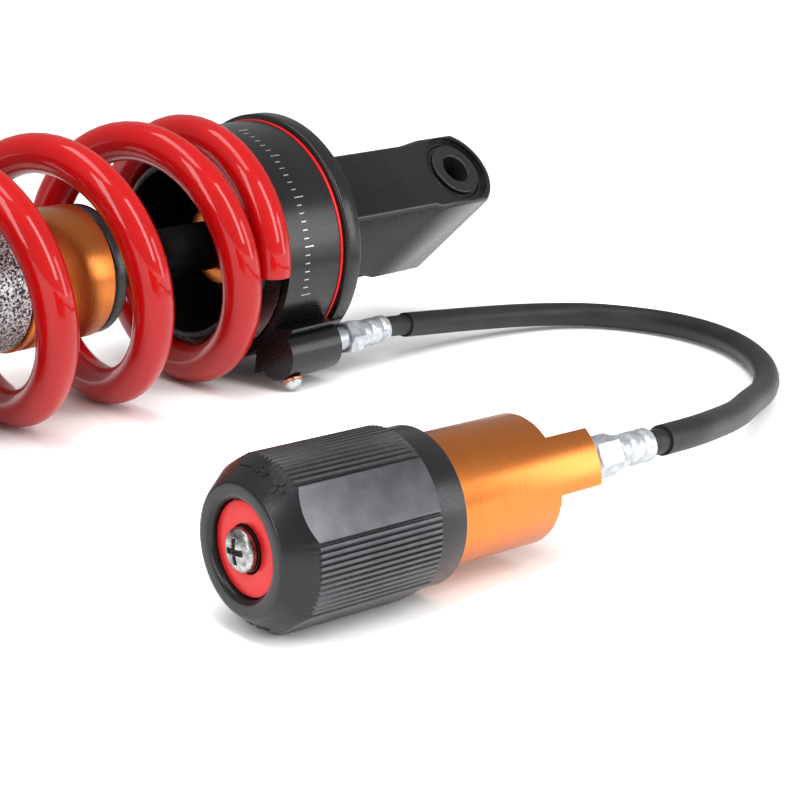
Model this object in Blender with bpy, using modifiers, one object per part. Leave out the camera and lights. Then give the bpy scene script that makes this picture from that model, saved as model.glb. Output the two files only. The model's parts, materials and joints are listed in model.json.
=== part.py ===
"""Motorcycle rear shock absorber with a hand-turned hydraulic spring-preload pump.

The shock lies on its side along +X, resting on its spring. The pump lies beside it, and a hose
joins the two. Metres, +Z up, origin at the centre of the footprint of everything but the hose.
"""
import math

import bmesh
import bpy
from mathutils import Matrix, Vector

# ---------------------------------------------------------------- driving dimensions
GAP = 0.0003            # clearance left between pieces that touch
RUN = 0.0004            # clearance between pieces that slide or turn in each other

# spring
SPRING_RADIUS = 0.038   # outside
WIRE = 0.0108
PITCH = 0.0315
TURNS = 6.1
SPRING_END_ANGLE = 95.0     # cut end at the collar, degrees from up towards -Y
CLOSED_TURNS = 0.40     # flat turns at each end
RAMP_TURNS = 0.50       # turns over which the pitch opens

# collar (hydraulic cylinder round the rod end), measured back from the flange's rear rim
FLANGE_RADIUS = 0.0355
FLANGE_THICK = 0.0057
ROD_HOLE = 0.0074
RED_RING_THICK = 0.0010
RED_RING_RADIUS = 0.0341
RED_RING_BORE = 0.0275
COLLAR_RADIUS = 0.0338
COLLAR_LENGTH = 0.0197
COLLAR_WALL = 0.0022
COLLAR_PLATE = 0.0047   # rear wall of the oil chamber
CUP_RADIUS = 0.0254
CUP_WALL = 0.0019
CUP_LENGTH = 0.0316
CUP_FLOOR = 0.0025
RAM_LENGTH = 0.0140
SEAL_WIRE = 0.0009      # half thickness of a ram seal
PORT_RADIUS = 0.0389    # hose port, from the shock axis
PORT_ANGLE = 87.0       # from the bore axis of the upper eye
LOBE_RADIUS = 0.0074
LOBE_FILLET = 0.0030
LOBE_CHAMFER = 0.0006

# upper eye
EYE_ROLL = 48.0         # bore axis of the upper eye, from up towards -Y
EYE_X = 0.0637          # eye centre, ahead of the flange's rear rim
EYE_END = 0.0141        # eye centre to the block's end
EYE_HALF_WIDTH = 0.0205
EYE_HALF_HEIGHT = 0.0125
NECK_HALF_HEIGHT = 0.0114
NECK_END = 0.0465
HEAD_START = 0.0490
EYE_BORE = 0.0098
RECESS_RADIUS = 0.0118
RECESS_DEPTH = 0.0012
ROD_SOCKET = 0.0260
BOLT_HOLE = 0.0047
SLEEVE_FACE = 0.0088    # radius of an inner sleeve's end face
BUSH_WALL = 0.0028

# rod and damper
ROD_RADIUS = 0.0070
STROKE = 0.0480
BUMP_RADIUS = 0.0112
BUMP_WASHER_RADIUS = 0.0120
BUMP_WASHER_THICK = 0.0022
HEAD_RING_FRONT = -0.0715
HEAD_RING_LENGTH = 0.0040
HEAD_RING_RADIUS = 0.0177
HEAD_RADIUS = 0.0181
HEAD_LENGTH = 0.0265
SPIGOT_LENGTH = 0.0060
TOP_OUT = 0.0040        # piston to the head's spigot, fully extended
TUBE_RADIUS = 0.0175
TUBE_WALL = 0.0020
PISTON_LENGTH = 0.0160
ROD_STUB = 0.0060       # thread and nut below the piston
GAS_PISTON_LENGTH = 0.0100
GAS_LENGTH = 0.0080     # gas space behind the floating piston
WIPER_RADIUS = 0.0110

# lower seat and lower eye
SEAT_RADIUS = 0.0378
SEAT_PLATE = 0.0060
SEAT_SKIRT = 0.0090
SEAT_NUT_RADIUS = 0.0270
SEAT_NUT_LENGTH = 0.0080
SEAT_SLOTS = 6
FOOT_RADIUS = 0.0220
FOOT_LENGTH = 0.0260
TUBE_IN_FOOT = 0.0100
LOWER_EYE_DROP = 0.0170     # foot's end to the lower eye centre
NECK_HALF = 0.0110
LOWER_EYE_RADIUS = 0.0155
LOWER_HALF_WIDTH = 0.0140
LOWER_BORE = 0.0105
LOWER_SLEEVE_HALF = 0.0165

# pump, measured along its own axis from the knob's rear face
PUMP_X = -0.1126
PUMP_Y = -0.1575
PUMP_YAW = -7.66
PUMP_ROLL = 63.7        # width of the tongue, from up towards -Y
KNOB_RADIUS = 0.0184
KNOB_SKIRT_RADIUS = 0.0171
KNOB_SKIRT = 0.0065
KNOB_SHOULDER = 0.0381
KNOB_LENGTH = 0.04435
KNOB_NOSE_RADIUS = 0.0140
KNOB_LIP = 0.0010       # rounding of the nose ring
KNOB_MOUTH_RADIUS = 0.01015
KNOB_MOUTH_DEPTH = 0.0029
KNOB_WEB = 0.0105       # thickness of the knob's front wall
FLAT_COUNT = 4
FLAT_HALF_ANGLE = 18.4
FLAT_START = -8.7       # first flat, from the tongue's width direction
FLUTES_PER_ARC = 13
FLUTE_DEPTH = 0.00045
BODY_RADIUS = 0.0145
BODY_IN_KNOB = 0.0280
BODY_LENGTH = 0.0294
TONGUE_LENGTH = 0.0119
TONGUE_HALF = 0.0064
BARREL_BORE = 0.0105
BARREL_END = 0.0262
CAP_SEAT = 0.0125       # counterbore for the bearing cap
CAP_SEAT_DEPTH = 0.0080
CAP_THICK = 0.0042
WASHER_THICK = 0.0011
SPINDLE_FLANGE = 0.0116
SPINDLE_RADIUS = 0.0050
SPINDLE_NECK = 0.0044
SPINDLE_TIP = 0.0080
DRIVE_HEX = 0.0042      # corner radius of the spindle's drive end
PISTON_REAR = -0.0120
PISTON_FRONT = 0.0120
PISTON_BORE_END = 0.0095
PISTON_SEAL_WIRE = 0.0008
KEY_RADIUS = 0.0011
KEY_X = 0.0050
BALL_RADIUS = 0.0015
BALL_CIRCLE = 0.0080
DISC_RADIUS = 0.0098
DISC_HOLE = 0.0062
DISC_THICK = 0.0010
SCREW_HEAD_RADIUS = 0.0046
SCREW_HEAD_HEIGHT = 0.0024
SCREW_RADIUS = 0.0023
SCREW_LENGTH = 0.0110
BLEED_X = 0.0354        # bleed screw on the tongue
BLEED_HEAD = 0.0037
BLEED_HEIGHT = 0.0015

# fittings and hose
NIPPLE_RADIUS = 0.0022
NIPPLE_DEPTH = 0.0070
NECK_RADIUS = 0.0034
COLLAR_NECK = 0.0073
PUMP_NECK = 0.0097
HEX_RADIUS = 0.0050
COLLAR_HEX = 0.0060
PUMP_HEX = 0.0075
FERRULE_RADIUS = 0.0040
FERRULE_LENGTH = 0.0110
CRIMP_DEPTH = 0.0003
BORE_RADIUS = 0.0013
HOSE_RADIUS = 0.00305
SLEEVE_RADIUS = 0.0037
SLEEVE_START = 0.0085   # length of bare hose at the collar's ferrule
SLEEVE_STOP = 0.0042    # length of bare hose at the pump's ferrule
HOSE_STEP = 0.0075
HOSE_STRAIGHT = 0.004    # straight hose past each ferrule
COLLAR_SCREW_X = -0.0235
COLLAR_SCREW_ANGLE = 154.9
DOME_RADIUS = 0.0026
COPPER_RADIUS = 0.0031
COPPER_THICK = 0.0008

ROUND = 28
SMALL = 18
TINY = 12

# ---------------------------------------------------------------- derived places
WIRE_RADIUS = WIRE / 2
COIL_RADIUS = SPRING_RADIUS - WIRE_RADIUS
AXIS_Z = SPRING_RADIUS
RED_REAR = -FLANGE_THICK - GAP
RED_FRONT = RED_REAR - RED_RING_THICK
COLLAR_REAR = RED_FRONT - GAP
COLLAR_FRONT = COLLAR_REAR - COLLAR_LENGTH
CUP_REAR = -FLANGE_THICK - GAP
CUP_FRONT = CUP_REAR - CUP_LENGTH
CHAMBER_IN = CUP_RADIUS + GAP
CHAMBER_OUT = COLLAR_RADIUS - COLLAR_WALL
CHAMBER_REAR = COLLAR_REAR - COLLAR_PLATE
RAM_FRONT = COLLAR_FRONT - GAP
SPRING_TOP = RAM_FRONT - GAP - WIRE_RADIUS
OPEN_TURNS = TURNS - 2 * CLOSED_TURNS - RAMP_TURNS
SPRING_BOTTOM = SPRING_TOP - PITCH * OPEN_TURNS
SEAT_FRONT = SPRING_BOTTOM - WIRE_RADIUS - GAP
SEAT_REAR = SEAT_FRONT - SEAT_PLATE
CUP_FLOOR_FRONT = CUP_REAR - CUP_FLOOR
WASHER_FRONT = HEAD_RING_FRONT + STROKE + GAP
WASHER_REAR = WASHER_FRONT + BUMP_WASHER_THICK
BUMP_REAR = CUP_FLOOR_FRONT - GAP
BUMP_FRONT = WASHER_REAR + GAP
HEAD_FRONT = HEAD_RING_FRONT - HEAD_RING_LENGTH - GAP
HEAD_REAR = HEAD_FRONT - HEAD_LENGTH
TUBE_FRONT = HEAD_REAR - GAP
LOWER_TOP = SEAT_REAR - GAP - SEAT_NUT_LENGTH - GAP
TUBE_REAR = LOWER_TOP - TUBE_IN_FOOT
LOWER_BOTTOM = LOWER_TOP - FOOT_LENGTH
LOWER_EYE = LOWER_BOTTOM - LOWER_EYE_DROP
TUBE_BORE = TUBE_RADIUS - TUBE_WALL
PISTON_TOP = HEAD_REAR - SPIGOT_LENGTH - TOP_OUT
ROD_TIP = PISTON_TOP - PISTON_LENGTH - ROD_STUB
SHOCK_MAX_X = EYE_X + EYE_END
SHOCK_MIN_X = LOWER_EYE - LOWER_EYE_RADIUS
TONGUE_END = BODY_LENGTH + TONGUE_LENGTH
YAW = math.radians(PUMP_YAW)
PUMP_MIN_Y = PUMP_Y + TONGUE_END * math.sin(YAW) - BODY_RADIUS * math.cos(YAW)
OFFSET = Vector((-(SHOCK_MAX_X + SHOCK_MIN_X) / 2, -(SPRING_RADIUS + PUMP_MIN_Y) / 2, 0))
KNOB_WEB_FRONT = -KNOB_LENGTH + KNOB_MOUTH_DEPTH
KNOB_WEB_REAR = KNOB_WEB_FRONT + KNOB_WEB
CAP_FRONT = -BODY_IN_KNOB - 0.0002
CAP_REAR = CAP_FRONT + CAP_THICK
WASHER_X = CAP_REAR + GAP
FLANGE_X = WASHER_X + WASHER_THICK + GAP
FLANGE_END = -BODY_IN_KNOB + CAP_SEAT_DEPTH - GAP


# ---------------------------------------------------------------- scene set-up
for old in list(bpy.data.objects):
    bpy.data.objects.remove(old, do_unlink=True)
PARTS = bpy.data.collections.new("preload_shock")
CUTTERS = bpy.data.collections.new("cutters")
bpy.context.scene.collection.children.link(PARTS)
bpy.context.scene.collection.children.link(CUTTERS)


def axis_empty(name, place, yaw, roll):
    """An empty whose local Z runs along the piece's axis and local X at roll degrees from up."""
    empty = bpy.data.objects.new(name, None)
    PARTS.objects.link(empty)
    empty.matrix_world = (
        Matrix.Translation(place + OFFSET)
        @ Matrix.Rotation(yaw, 4, "Z")
        @ Matrix.Rotation(math.radians(180 + roll), 4, "X")
        @ Matrix.Rotation(math.pi / 2, 4, "Y")
    )
    return empty


SHOCK = axis_empty("shock_axis", Vector((0, 0, AXIS_Z)), 0.0, EYE_ROLL)
PUMP = axis_empty("pump_axis", Vector((PUMP_X, PUMP_Y, KNOB_RADIUS)), YAW, PUMP_ROLL)
TABLE = bpy.data.objects.new("table", None)
PARTS.objects.link(TABLE)
TABLE.location = OFFSET
bpy.context.view_layer.update()


def make_material(name, color, roughness, metallic):
    material = bpy.data.materials.new(name)
    material.use_nodes = True
    shader = material.node_tree.nodes["Principled BSDF"]
    shader.inputs["Base Color"].default_value = (*color, 1)
    shader.inputs["Roughness"].default_value = roughness
    shader.inputs["Metallic"].default_value = metallic
    material.diffuse_color = (*color, 1)
    return material


FINISHES = {
    "black_anodised": ((0.025, 0.026, 0.028), 0.35, 0.8),
    "knob_anodised": ((0.06, 0.062, 0.067), 0.38, 0.8),
    "orange_anodised": ((0.72, 0.27, 0.06), 0.28, 0.9),
    "red_anodised": ((0.75, 0.02, 0.02), 0.35, 0.5),
    "red_powder_coat": ((0.62, 0.004, 0.006), 0.15, 0.0),
    "zinc": ((0.80, 0.81, 0.82), 0.30, 0.9),
    "steel": ((0.45, 0.46, 0.48), 0.30, 1.0),
    "bronze": ((0.55, 0.36, 0.16), 0.35, 1.0),
    "copper": ((0.70, 0.32, 0.20), 0.35, 1.0),
    "rubber": ((0.018, 0.018, 0.018), 0.55, 0.0),
    "foil_label": ((0.16, 0.16, 0.17), 0.35, 0.7),
    "bump_foam": ((0.012, 0.012, 0.012), 0.85, 0.0),
}


def finish(obj, name, material, parent):
    """Name a piece, give it its own material, and hang it on its axis."""
    obj.name = name
    obj.data.name = name
    obj.data.materials.clear()
    obj.data.materials.append(make_material(name, *FINISHES[material]))
    for collection in list(obj.users_collection):
        collection.objects.unlink(obj)
    PARTS.objects.link(obj)
    obj.parent = parent
    return obj


def hide_cutter(obj, parent):
    for collection in list(obj.users_collection):
        collection.objects.unlink(obj)
    CUTTERS.objects.link(obj)
    obj.hide_render = True
    obj.display_type = "WIRE"
    obj.parent = parent
    return obj


def mesh_object(name, mesh):
    obj = bpy.data.objects.new(name, mesh)
    bpy.context.scene.collection.objects.link(obj)
    return obj


def turned(name, profile, steps=ROUND):
    """Turn a (radius, height) outline about local Z. It runs down the outer side."""
    mesh = bpy.data.meshes.new(name)
    work = bmesh.new()
    points = [work.verts.new((radius, 0, height)) for radius, height in profile]
    closed = all(radius > 0 for radius, _ in profile)
    pairs = zip(points, points[1:] + points[:1] if closed else points[1:])
    for first, second in pairs:
        work.edges.new((first, second))
    work.to_mesh(mesh)
    work.free()
    obj = mesh_object(name, mesh)
    screw = obj.modifiers.new("Screw", "SCREW")
    screw.axis = "Z"
    screw.steps = steps
    screw.render_steps = steps
    screw.use_merge_vertices = True
    screw.merge_threshold = 0.00001
    screw.use_smooth_shade = True
    return obj


def tube_profile(outer, inner, top, bottom, chamfer=0.0):
    """Outline of a ring with chamfered outer edges."""
    if chamfer == 0:
        return [(outer, top), (outer, bottom), (inner, bottom), (inner, top)]
    return [
        (outer - chamfer, top),
        (outer, top - chamfer),
        (outer, bottom + chamfer),
        (outer - chamfer, bottom),
        (inner, bottom),
        (inner, top),
    ]


def rod_profile(radius, top, bottom, chamfer=0.0):
    if chamfer == 0:
        return [(0, top), (radius, top), (radius, bottom), (0, bottom)]
    return [
        (0, top),
        (radius - chamfer, top),
        (radius, top - chamfer),
        (radius, bottom + chamfer),
        (radius - chamfer, bottom),
        (0, bottom),
    ]


def seal_profile(radius, height, half, sides=6):
    """Round section of an O-ring."""
    turn = [-2 * math.pi * (i + 0.5) / sides for i in range(sides)]
    return [(radius + half * math.cos(a), height + half * math.sin(a)) for a in turn]


def cylinder(name, radius, length, matrix, sides=SMALL, radius_2=None):
    """A closed cylinder or cone whose own Z runs along matrix's Z, centred on its origin."""
    mesh = bpy.data.meshes.new(name)
    work = bmesh.new()
    bmesh.ops.create_cone(
        work,
        cap_ends=True,
        segments=sides,
        radius1=radius,
        radius2=radius if radius_2 is None else radius_2,
        depth=length,
        matrix=matrix,
    )
    work.to_mesh(mesh)
    work.free()
    return mesh_object(name, mesh)


def block(name, size, centre):
    mesh = bpy.data.meshes.new(name)
    work = bmesh.new()
    scale = Matrix.Diagonal((*size, 1))
    bmesh.ops.create_cube(work, size=1, matrix=Matrix.Translation(centre) @ scale)
    work.to_mesh(mesh)
    work.free()
    return mesh_object(name, mesh)


def prism(name, outline, half_depth, matrix):
    """A flat outline given a thickness, as a mesh placed by matrix."""
    curve = bpy.data.curves.new(name, "CURVE")
    curve.dimensions = "2D"
    curve.fill_mode = "BOTH"
    curve.extrude = half_depth
    spline = curve.splines.new("POLY")
    spline.points.add(len(outline) - 1)
    for point, (across, along) in zip(spline.points, outline):
        point.co = (across, along, 0, 1)
    spline.use_cyclic_u = True
    shape = bpy.data.objects.new(name, curve)
    bpy.context.scene.collection.objects.link(shape)
    return curve_to_mesh(shape, matrix)


def curve_to_mesh(shape, matrix):
    """Replace a curve object by a welded mesh object, its points moved by matrix."""
    bpy.context.view_layer.update()
    evaluated = shape.evaluated_get(bpy.context.evaluated_depsgraph_get())
    mesh = bpy.data.meshes.new_from_object(evaluated)
    work = bmesh.new()
    work.from_mesh(mesh)
    bmesh.ops.remove_doubles(work, verts=work.verts, dist=0.000005)
    bmesh.ops.transform(work, matrix=matrix, verts=work.verts)
    bmesh.ops.recalc_face_normals(work, faces=work.faces)
    work.to_mesh(mesh)
    work.free()
    obj = mesh_object(shape.name, mesh)
    bpy.data.objects.remove(shape, do_unlink=True)
    return obj


def combine(obj, tool, operation, parent):
    """Boolean on a piece; the tool goes to the cutters' collection, on the same axis."""
    hide_cutter(tool, parent)
    boolean = obj.modifiers.new(operation.title(), "BOOLEAN")
    boolean.operation = operation
    boolean.object = tool
    boolean.solver = "EXACT"


def cut(obj, tool, parent):
    combine(obj, tool, "DIFFERENCE", parent)


def join(obj, tool, parent):
    combine(obj, tool, "UNION", parent)


def turned_part(name, profile, material, parent, steps=ROUND):
    return finish(turned(name, profile, steps), name, material, parent)


def polar(radius, degrees):
    angle = math.radians(degrees)
    return radius * math.cos(angle), radius * math.sin(angle)


def lying(along_x, centre):
    """Matrix that lays a cylinder's own Z along local X (or local Y) at centre."""
    turn = Matrix.Rotation(math.pi / 2, 4, "Y" if along_x else "X")
    return Matrix.Translation(centre) @ turn


# ---------------------------------------------------------------- upper end of the shock
def eye_outline():
    """Side view of the eye block: (height across, distance along the shock)."""
    start = math.degrees(math.asin(EYE_HALF_HEIGHT / EYE_END))
    arc = [polar(EYE_END, start - start * 2 * i / 12) for i in range(13)]
    head = [(up, EYE_X + along) for along, up in arc]
    return [
        (NECK_HALF_HEIGHT, GAP),
        (NECK_HALF_HEIGHT, NECK_END),
        (EYE_HALF_HEIGHT, HEAD_START),
        *head,
        (-EYE_HALF_HEIGHT, HEAD_START + 0.006),
        (-NECK_HALF_HEIGHT, NECK_END),
        (-NECK_HALF_HEIGHT, GAP),
    ]


def build_upper_eye():
    # the outline's own X is the block's height (local Y) and its Y the shock's axis (local Z)
    stand = Matrix(((0, 0, 1, 0), (1, 0, 0, 0), (0, 1, 0, 0), (0, 0, 0, 1)))
    shape = prism("eye_block", eye_outline(), EYE_HALF_WIDTH, stand)
    edge = shape.modifiers.new("Bevel", "BEVEL")
    edge.width = 0.0010
    edge.segments = 2
    edge.angle_limit = math.radians(50)
    bore = cylinder("eye_bore", EYE_BORE, 0.06, lying(True, (0, 0, EYE_X)), ROUND)
    cut(shape, bore, SHOCK)
    for side in (-1, 1):
        centre = (side * EYE_HALF_WIDTH, 0, EYE_X)
        recess = cylinder("eye_recess", RECESS_RADIUS, RECESS_DEPTH * 2, lying(True, centre), ROUND)
        cut(shape, recess, SHOCK)
    socket = cylinder("rod_socket", ROD_HOLE, ROD_SOCKET * 2, Matrix.Identity(4), SMALL)
    cut(shape, socket, SHOCK)
    finish(shape, "eye_block", "black_anodised", SHOCK)

    for number, side in enumerate((-1, 1)):
        half = EYE_HALF_WIDTH - RECESS_DEPTH - 0.0004
        bush = turned(
            f"upper_bush_{number + 1}",
            tube_profile(EYE_BORE - GAP, EYE_BORE - GAP - BUSH_WALL, half, 0.0002, 0.0003),
            SMALL,
        )
        finish(bush, f"upper_bush_{number + 1}", "black_anodised", SHOCK)
        bush.location = (0, 0, EYE_X)
        bush.rotation_euler = (0, side * math.pi / 2, 0)
    inner = EYE_BORE - GAP - BUSH_WALL - RUN
    face = EYE_HALF_WIDTH
    ends = EYE_HALF_WIDTH - RECESS_DEPTH + 0.0001
    sleeve = [
        (SLEEVE_FACE - 0.0004, face),
        (SLEEVE_FACE, face - 0.0004),
        (SLEEVE_FACE, ends),
        (inner, ends - 0.0001),
        (inner, -ends + 0.0001),
        (SLEEVE_FACE, -ends),
        (SLEEVE_FACE, -face + 0.0004),
        (SLEEVE_FACE - 0.0004, -face),
        (BOLT_HOLE, -face),
        (BOLT_HOLE, face),
    ]
    obj = turned_part("upper_eye_sleeve", sleeve, "black_anodised", SHOCK, SMALL)
    obj.location = (0, 0, EYE_X)
    obj.rotation_euler = (0, math.pi / 2, 0)

    plate = tube_profile(FLANGE_RADIUS, ROD_HOLE, 0, -FLANGE_THICK, 0.0008)
    turned_part("top_flange", plate, "black_anodised", SHOCK)


def lobe_outline():
    """Cross-section of the hose boss: a round, blended into the collar on both sides."""
    foot = COLLAR_RADIUS - 0.0003 + LOBE_FILLET
    reach = LOBE_RADIUS + LOBE_FILLET
    spread = math.acos((foot**2 + PORT_RADIUS**2 - reach**2) / (2 * foot * PORT_RADIUS))
    inward = math.acos((PORT_RADIUS**2 + reach**2 - foot**2) / (2 * PORT_RADIUS * reach))
    half = 180 - math.degrees(inward)
    blend = 180 - math.degrees(spread + inward)
    rounded = [(LOBE_RADIUS, PORT_RADIUS, half * (step / 8 - 1)) for step in range(17)]
    outline = []
    for radius, out, angle in rounded:
        across, up = polar(radius, angle)
        outline.append((out + across, up))
    middle = (foot * math.cos(spread), foot * math.sin(spread))
    hollow = []
    for step in range(1, 5):
        across, up = polar(LOBE_FILLET, half - 180 + blend * step / 4)
        hollow.append((middle[0] + across, middle[1] + up))
    outline += hollow
    outline.append((CHAMBER_OUT - 0.0020, 0))
    outline += [(along, -up) for along, up in reversed(hollow)]
    turn = Matrix.Rotation(math.radians(PORT_ANGLE), 2)
    return [tuple(turn @ Vector(point)) for point in outline]


def build_collar():
    red = tube_profile(RED_RING_RADIUS, RED_RING_BORE, RED_REAR, RED_FRONT)
    turned_part("red_ring", red, "red_anodised", SHOCK)

    body = turned(
        "preload_collar",
        tube_profile(COLLAR_RADIUS, CHAMBER_IN, COLLAR_REAR, COLLAR_FRONT, 0.0005),
    )
    port = polar(PORT_RADIUS, PORT_ANGLE)
    lobe = lobe_outline()
    middle = (COLLAR_REAR + COLLAR_FRONT) / 2
    half = COLLAR_LENGTH / 2
    boss = prism("lobe", lobe, half, Matrix.Translation((0, 0, middle)))
    edge = boss.modifiers.new("Bevel", "BEVEL")
    edge.width = LOBE_CHAMFER
    edge.segments = 1
    edge.angle_limit = math.radians(60)
    join(body, boss, SHOCK)
    chamber = turned(
        "chamber",
        tube_profile(CHAMBER_OUT, CHAMBER_IN - 0.002, CHAMBER_REAR, COLLAR_FRONT - 0.002),
    )
    cut(body, chamber, SHOCK)
    hole = Matrix.Translation((*port, COLLAR_REAR - NIPPLE_DEPTH / 2 + 0.001))
    cut(body, cylinder("port", NIPPLE_RADIUS + GAP, NIPPLE_DEPTH + 0.003, hole, TINY), SHOCK)
    finish(body, "preload_collar", "black_anodised", SHOCK)

    wall = CUP_RADIUS - CUP_WALL
    cup = [
        (CUP_RADIUS, CUP_REAR),
        (CUP_RADIUS, CUP_FRONT + 0.0004),
        (CUP_RADIUS - 0.0004, CUP_FRONT),
        (wall + 0.0003, CUP_FRONT),
        (wall, CUP_FRONT + 0.0006),
        (wall, CUP_FLOOR_FRONT),
        (ROD_HOLE, CUP_FLOOR_FRONT),
        (ROD_HOLE, CUP_REAR),
    ]
    turned_part("guide_cup", cup, "black_anodised", SHOCK)

    outer = CHAMBER_OUT - GAP
    inner = CHAMBER_IN + GAP
    rear = RAM_FRONT + RAM_LENGTH
    groove = SEAL_WIRE + 0.0003
    mid = (RAM_FRONT + rear) / 2 + 0.002
    inside = mid - 0.005
    ram = [
        (outer, rear),
        (outer, mid + groove),
        (outer - 2 * groove, mid + groove),
        (outer - 2 * groove, mid - groove),
        (outer, mid - groove),
        (outer, RAM_FRONT),
        (inner, RAM_FRONT),
        (inner, inside - groove),
        (inner + 2 * groove, inside - groove),
        (inner + 2 * groove, inside + groove),
        (inner, inside + groove),
        (inner, rear),
    ]
    turned_part("preload_ram", ram, "steel", SHOCK)
    outer_seal = seal_profile(outer - SEAL_WIRE + 0.0001, mid, SEAL_WIRE)
    inner_seal = seal_profile(inner + SEAL_WIRE - 0.0001, inside, SEAL_WIRE)
    turned_part("ram_outer_seal", outer_seal, "rubber", SHOCK, ROUND)
    turned_part("ram_inner_seal", inner_seal, "rubber", SHOCK, ROUND)


def build_collar_screw():
    """Bleed screw with a copper washer, on the underside of the collar's lobe."""
    across, up = polar(PORT_RADIUS, PORT_ANGLE)
    empty = bpy.data.objects.new("collar_screw_axis", None)
    PARTS.objects.link(empty)
    empty.parent = SHOCK
    turn = Matrix.Rotation(math.radians(COLLAR_SCREW_ANGLE - EYE_ROLL), 4, "Z")
    empty.matrix_local = (
        Matrix.Translation((across, up, COLLAR_SCREW_X))
        @ turn
        @ Matrix.Rotation(math.pi / 2, 4, "Y")
    )
    seat = LOBE_RADIUS + 0.0001
    copper = tube_profile(COPPER_RADIUS, 0.0016, seat + COPPER_THICK, seat)
    turned_part("collar_bleed_washer", copper, "copper", empty, TINY)
    base = seat + COPPER_THICK + 0.0001
    dome = [(0, base + DOME_RADIUS)]
    for step in range(1, 5):
        across, height = polar(DOME_RADIUS, 90 - 20 * step)
        dome.append((across, base + height))
    dome += [(DOME_RADIUS, base), (0, base)]
    turned_part("collar_bleed_screw", dome, "zinc", empty, TINY)


# ---------------------------------------------------------------- rod and damper
def build_rod():
    top = ROD_SOCKET - 0.0015
    turned_part("damper_rod", rod_profile(ROD_RADIUS, top, ROD_TIP, 0.0006), "steel", SHOCK, SMALL)
    length = BUMP_REAR - BUMP_FRONT
    bump = [
        (BUMP_RADIUS, BUMP_REAR),
        (BUMP_RADIUS, BUMP_REAR - length * 0.35),
        (BUMP_RADIUS - 0.0016, BUMP_REAR - length * 0.45),
        (BUMP_RADIUS - 0.0004, BUMP_REAR - length * 0.55),
        (BUMP_RADIUS - 0.0010, BUMP_FRONT),
        (ROD_RADIUS + GAP, BUMP_FRONT),
        (ROD_RADIUS + GAP, BUMP_REAR),
    ]
    turned_part("bump_stop", bump, "bump_foam", SHOCK, SMALL)

    washer = tube_profile(BUMP_WASHER_RADIUS, ROD_RADIUS + GAP, WASHER_REAR, WASHER_FRONT)
    turned_part("bump_washer", washer, "orange_anodised", SHOCK)
    bore = ROD_RADIUS + GAP
    piston = tube_profile(TUBE_BORE - RUN, bore, PISTON_TOP, PISTON_TOP - PISTON_LENGTH, 0.0006)
    turned_part("damper_piston", piston, "bronze", SHOCK, SMALL)


def build_damper():
    ring_rear = HEAD_RING_FRONT - HEAD_RING_LENGTH
    bore = WIPER_RADIUS + GAP
    ring = tube_profile(HEAD_RING_RADIUS, bore, HEAD_RING_FRONT, ring_rear, 0.0007)
    turned_part("head_ring", ring, "black_anodised", SHOCK)
    wiper = tube_profile(WIPER_RADIUS, ROD_RADIUS + RUN, HEAD_RING_FRONT, ring_rear)
    turned_part("rod_wiper", wiper, "rubber", SHOCK, SMALL)
    spigot = TUBE_BORE - GAP
    head = [
        (HEAD_RADIUS - 0.0006, HEAD_FRONT),
        (HEAD_RADIUS, HEAD_FRONT - 0.0006),
        (HEAD_RADIUS, HEAD_REAR),
        (spigot, HEAD_REAR),
        (spigot, HEAD_REAR - SPIGOT_LENGTH),
        (ROD_RADIUS + RUN, HEAD_REAR - SPIGOT_LENGTH),
        (ROD_RADIUS + RUN, HEAD_FRONT),
    ]
    turned_part("damper_head", head, "orange_anodised", SHOCK)
    tube = tube_profile(TUBE_RADIUS, TUBE_BORE, TUBE_FRONT, TUBE_REAR)
    turned_part("damper_tube", tube, "foil_label", SHOCK)
    low = TUBE_REAR + GAS_LENGTH
    gas = rod_profile(TUBE_BORE - RUN, low + GAS_PISTON_LENGTH, low, 0.0008)
    turned_part("gas_piston", gas, "bronze", SHOCK, SMALL)


def build_lower_seat():
    bore = TUBE_RADIUS + GAP
    skirt = SEAT_FRONT + SEAT_SKIRT
    inner = SPRING_RADIUS - WIRE - 0.0012
    seat = [
        (inner - 0.0006, skirt),
        (inner, skirt - 0.0006),
        (inner, SEAT_FRONT),
        (SEAT_RADIUS - 0.0008, SEAT_FRONT),
        (SEAT_RADIUS, SEAT_FRONT - 0.0008),
        (SEAT_RADIUS, SEAT_REAR + 0.0012),
        (SEAT_RADIUS - 0.0012, SEAT_REAR),
        (bore, SEAT_REAR),
        (bore, skirt),
    ]
    turned_part("lower_spring_seat", seat, "black_anodised", SHOCK)
    top = SEAT_REAR - GAP
    ring = turned("seat_nut", tube_profile(SEAT_NUT_RADIUS, bore, top, top - SEAT_NUT_LENGTH, 0.0008))
    for step in range(SEAT_SLOTS):
        across, up = polar(SEAT_NUT_RADIUS, 360 * step / SEAT_SLOTS)
        place = Matrix.Translation((across, up, top - SEAT_NUT_LENGTH / 2))
        cut(ring, cylinder("spanner_slot", 0.0022, SEAT_NUT_LENGTH + 0.002, place, 8), SHOCK)
    finish(ring, "seat_nut", "black_anodised", SHOCK)


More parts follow.
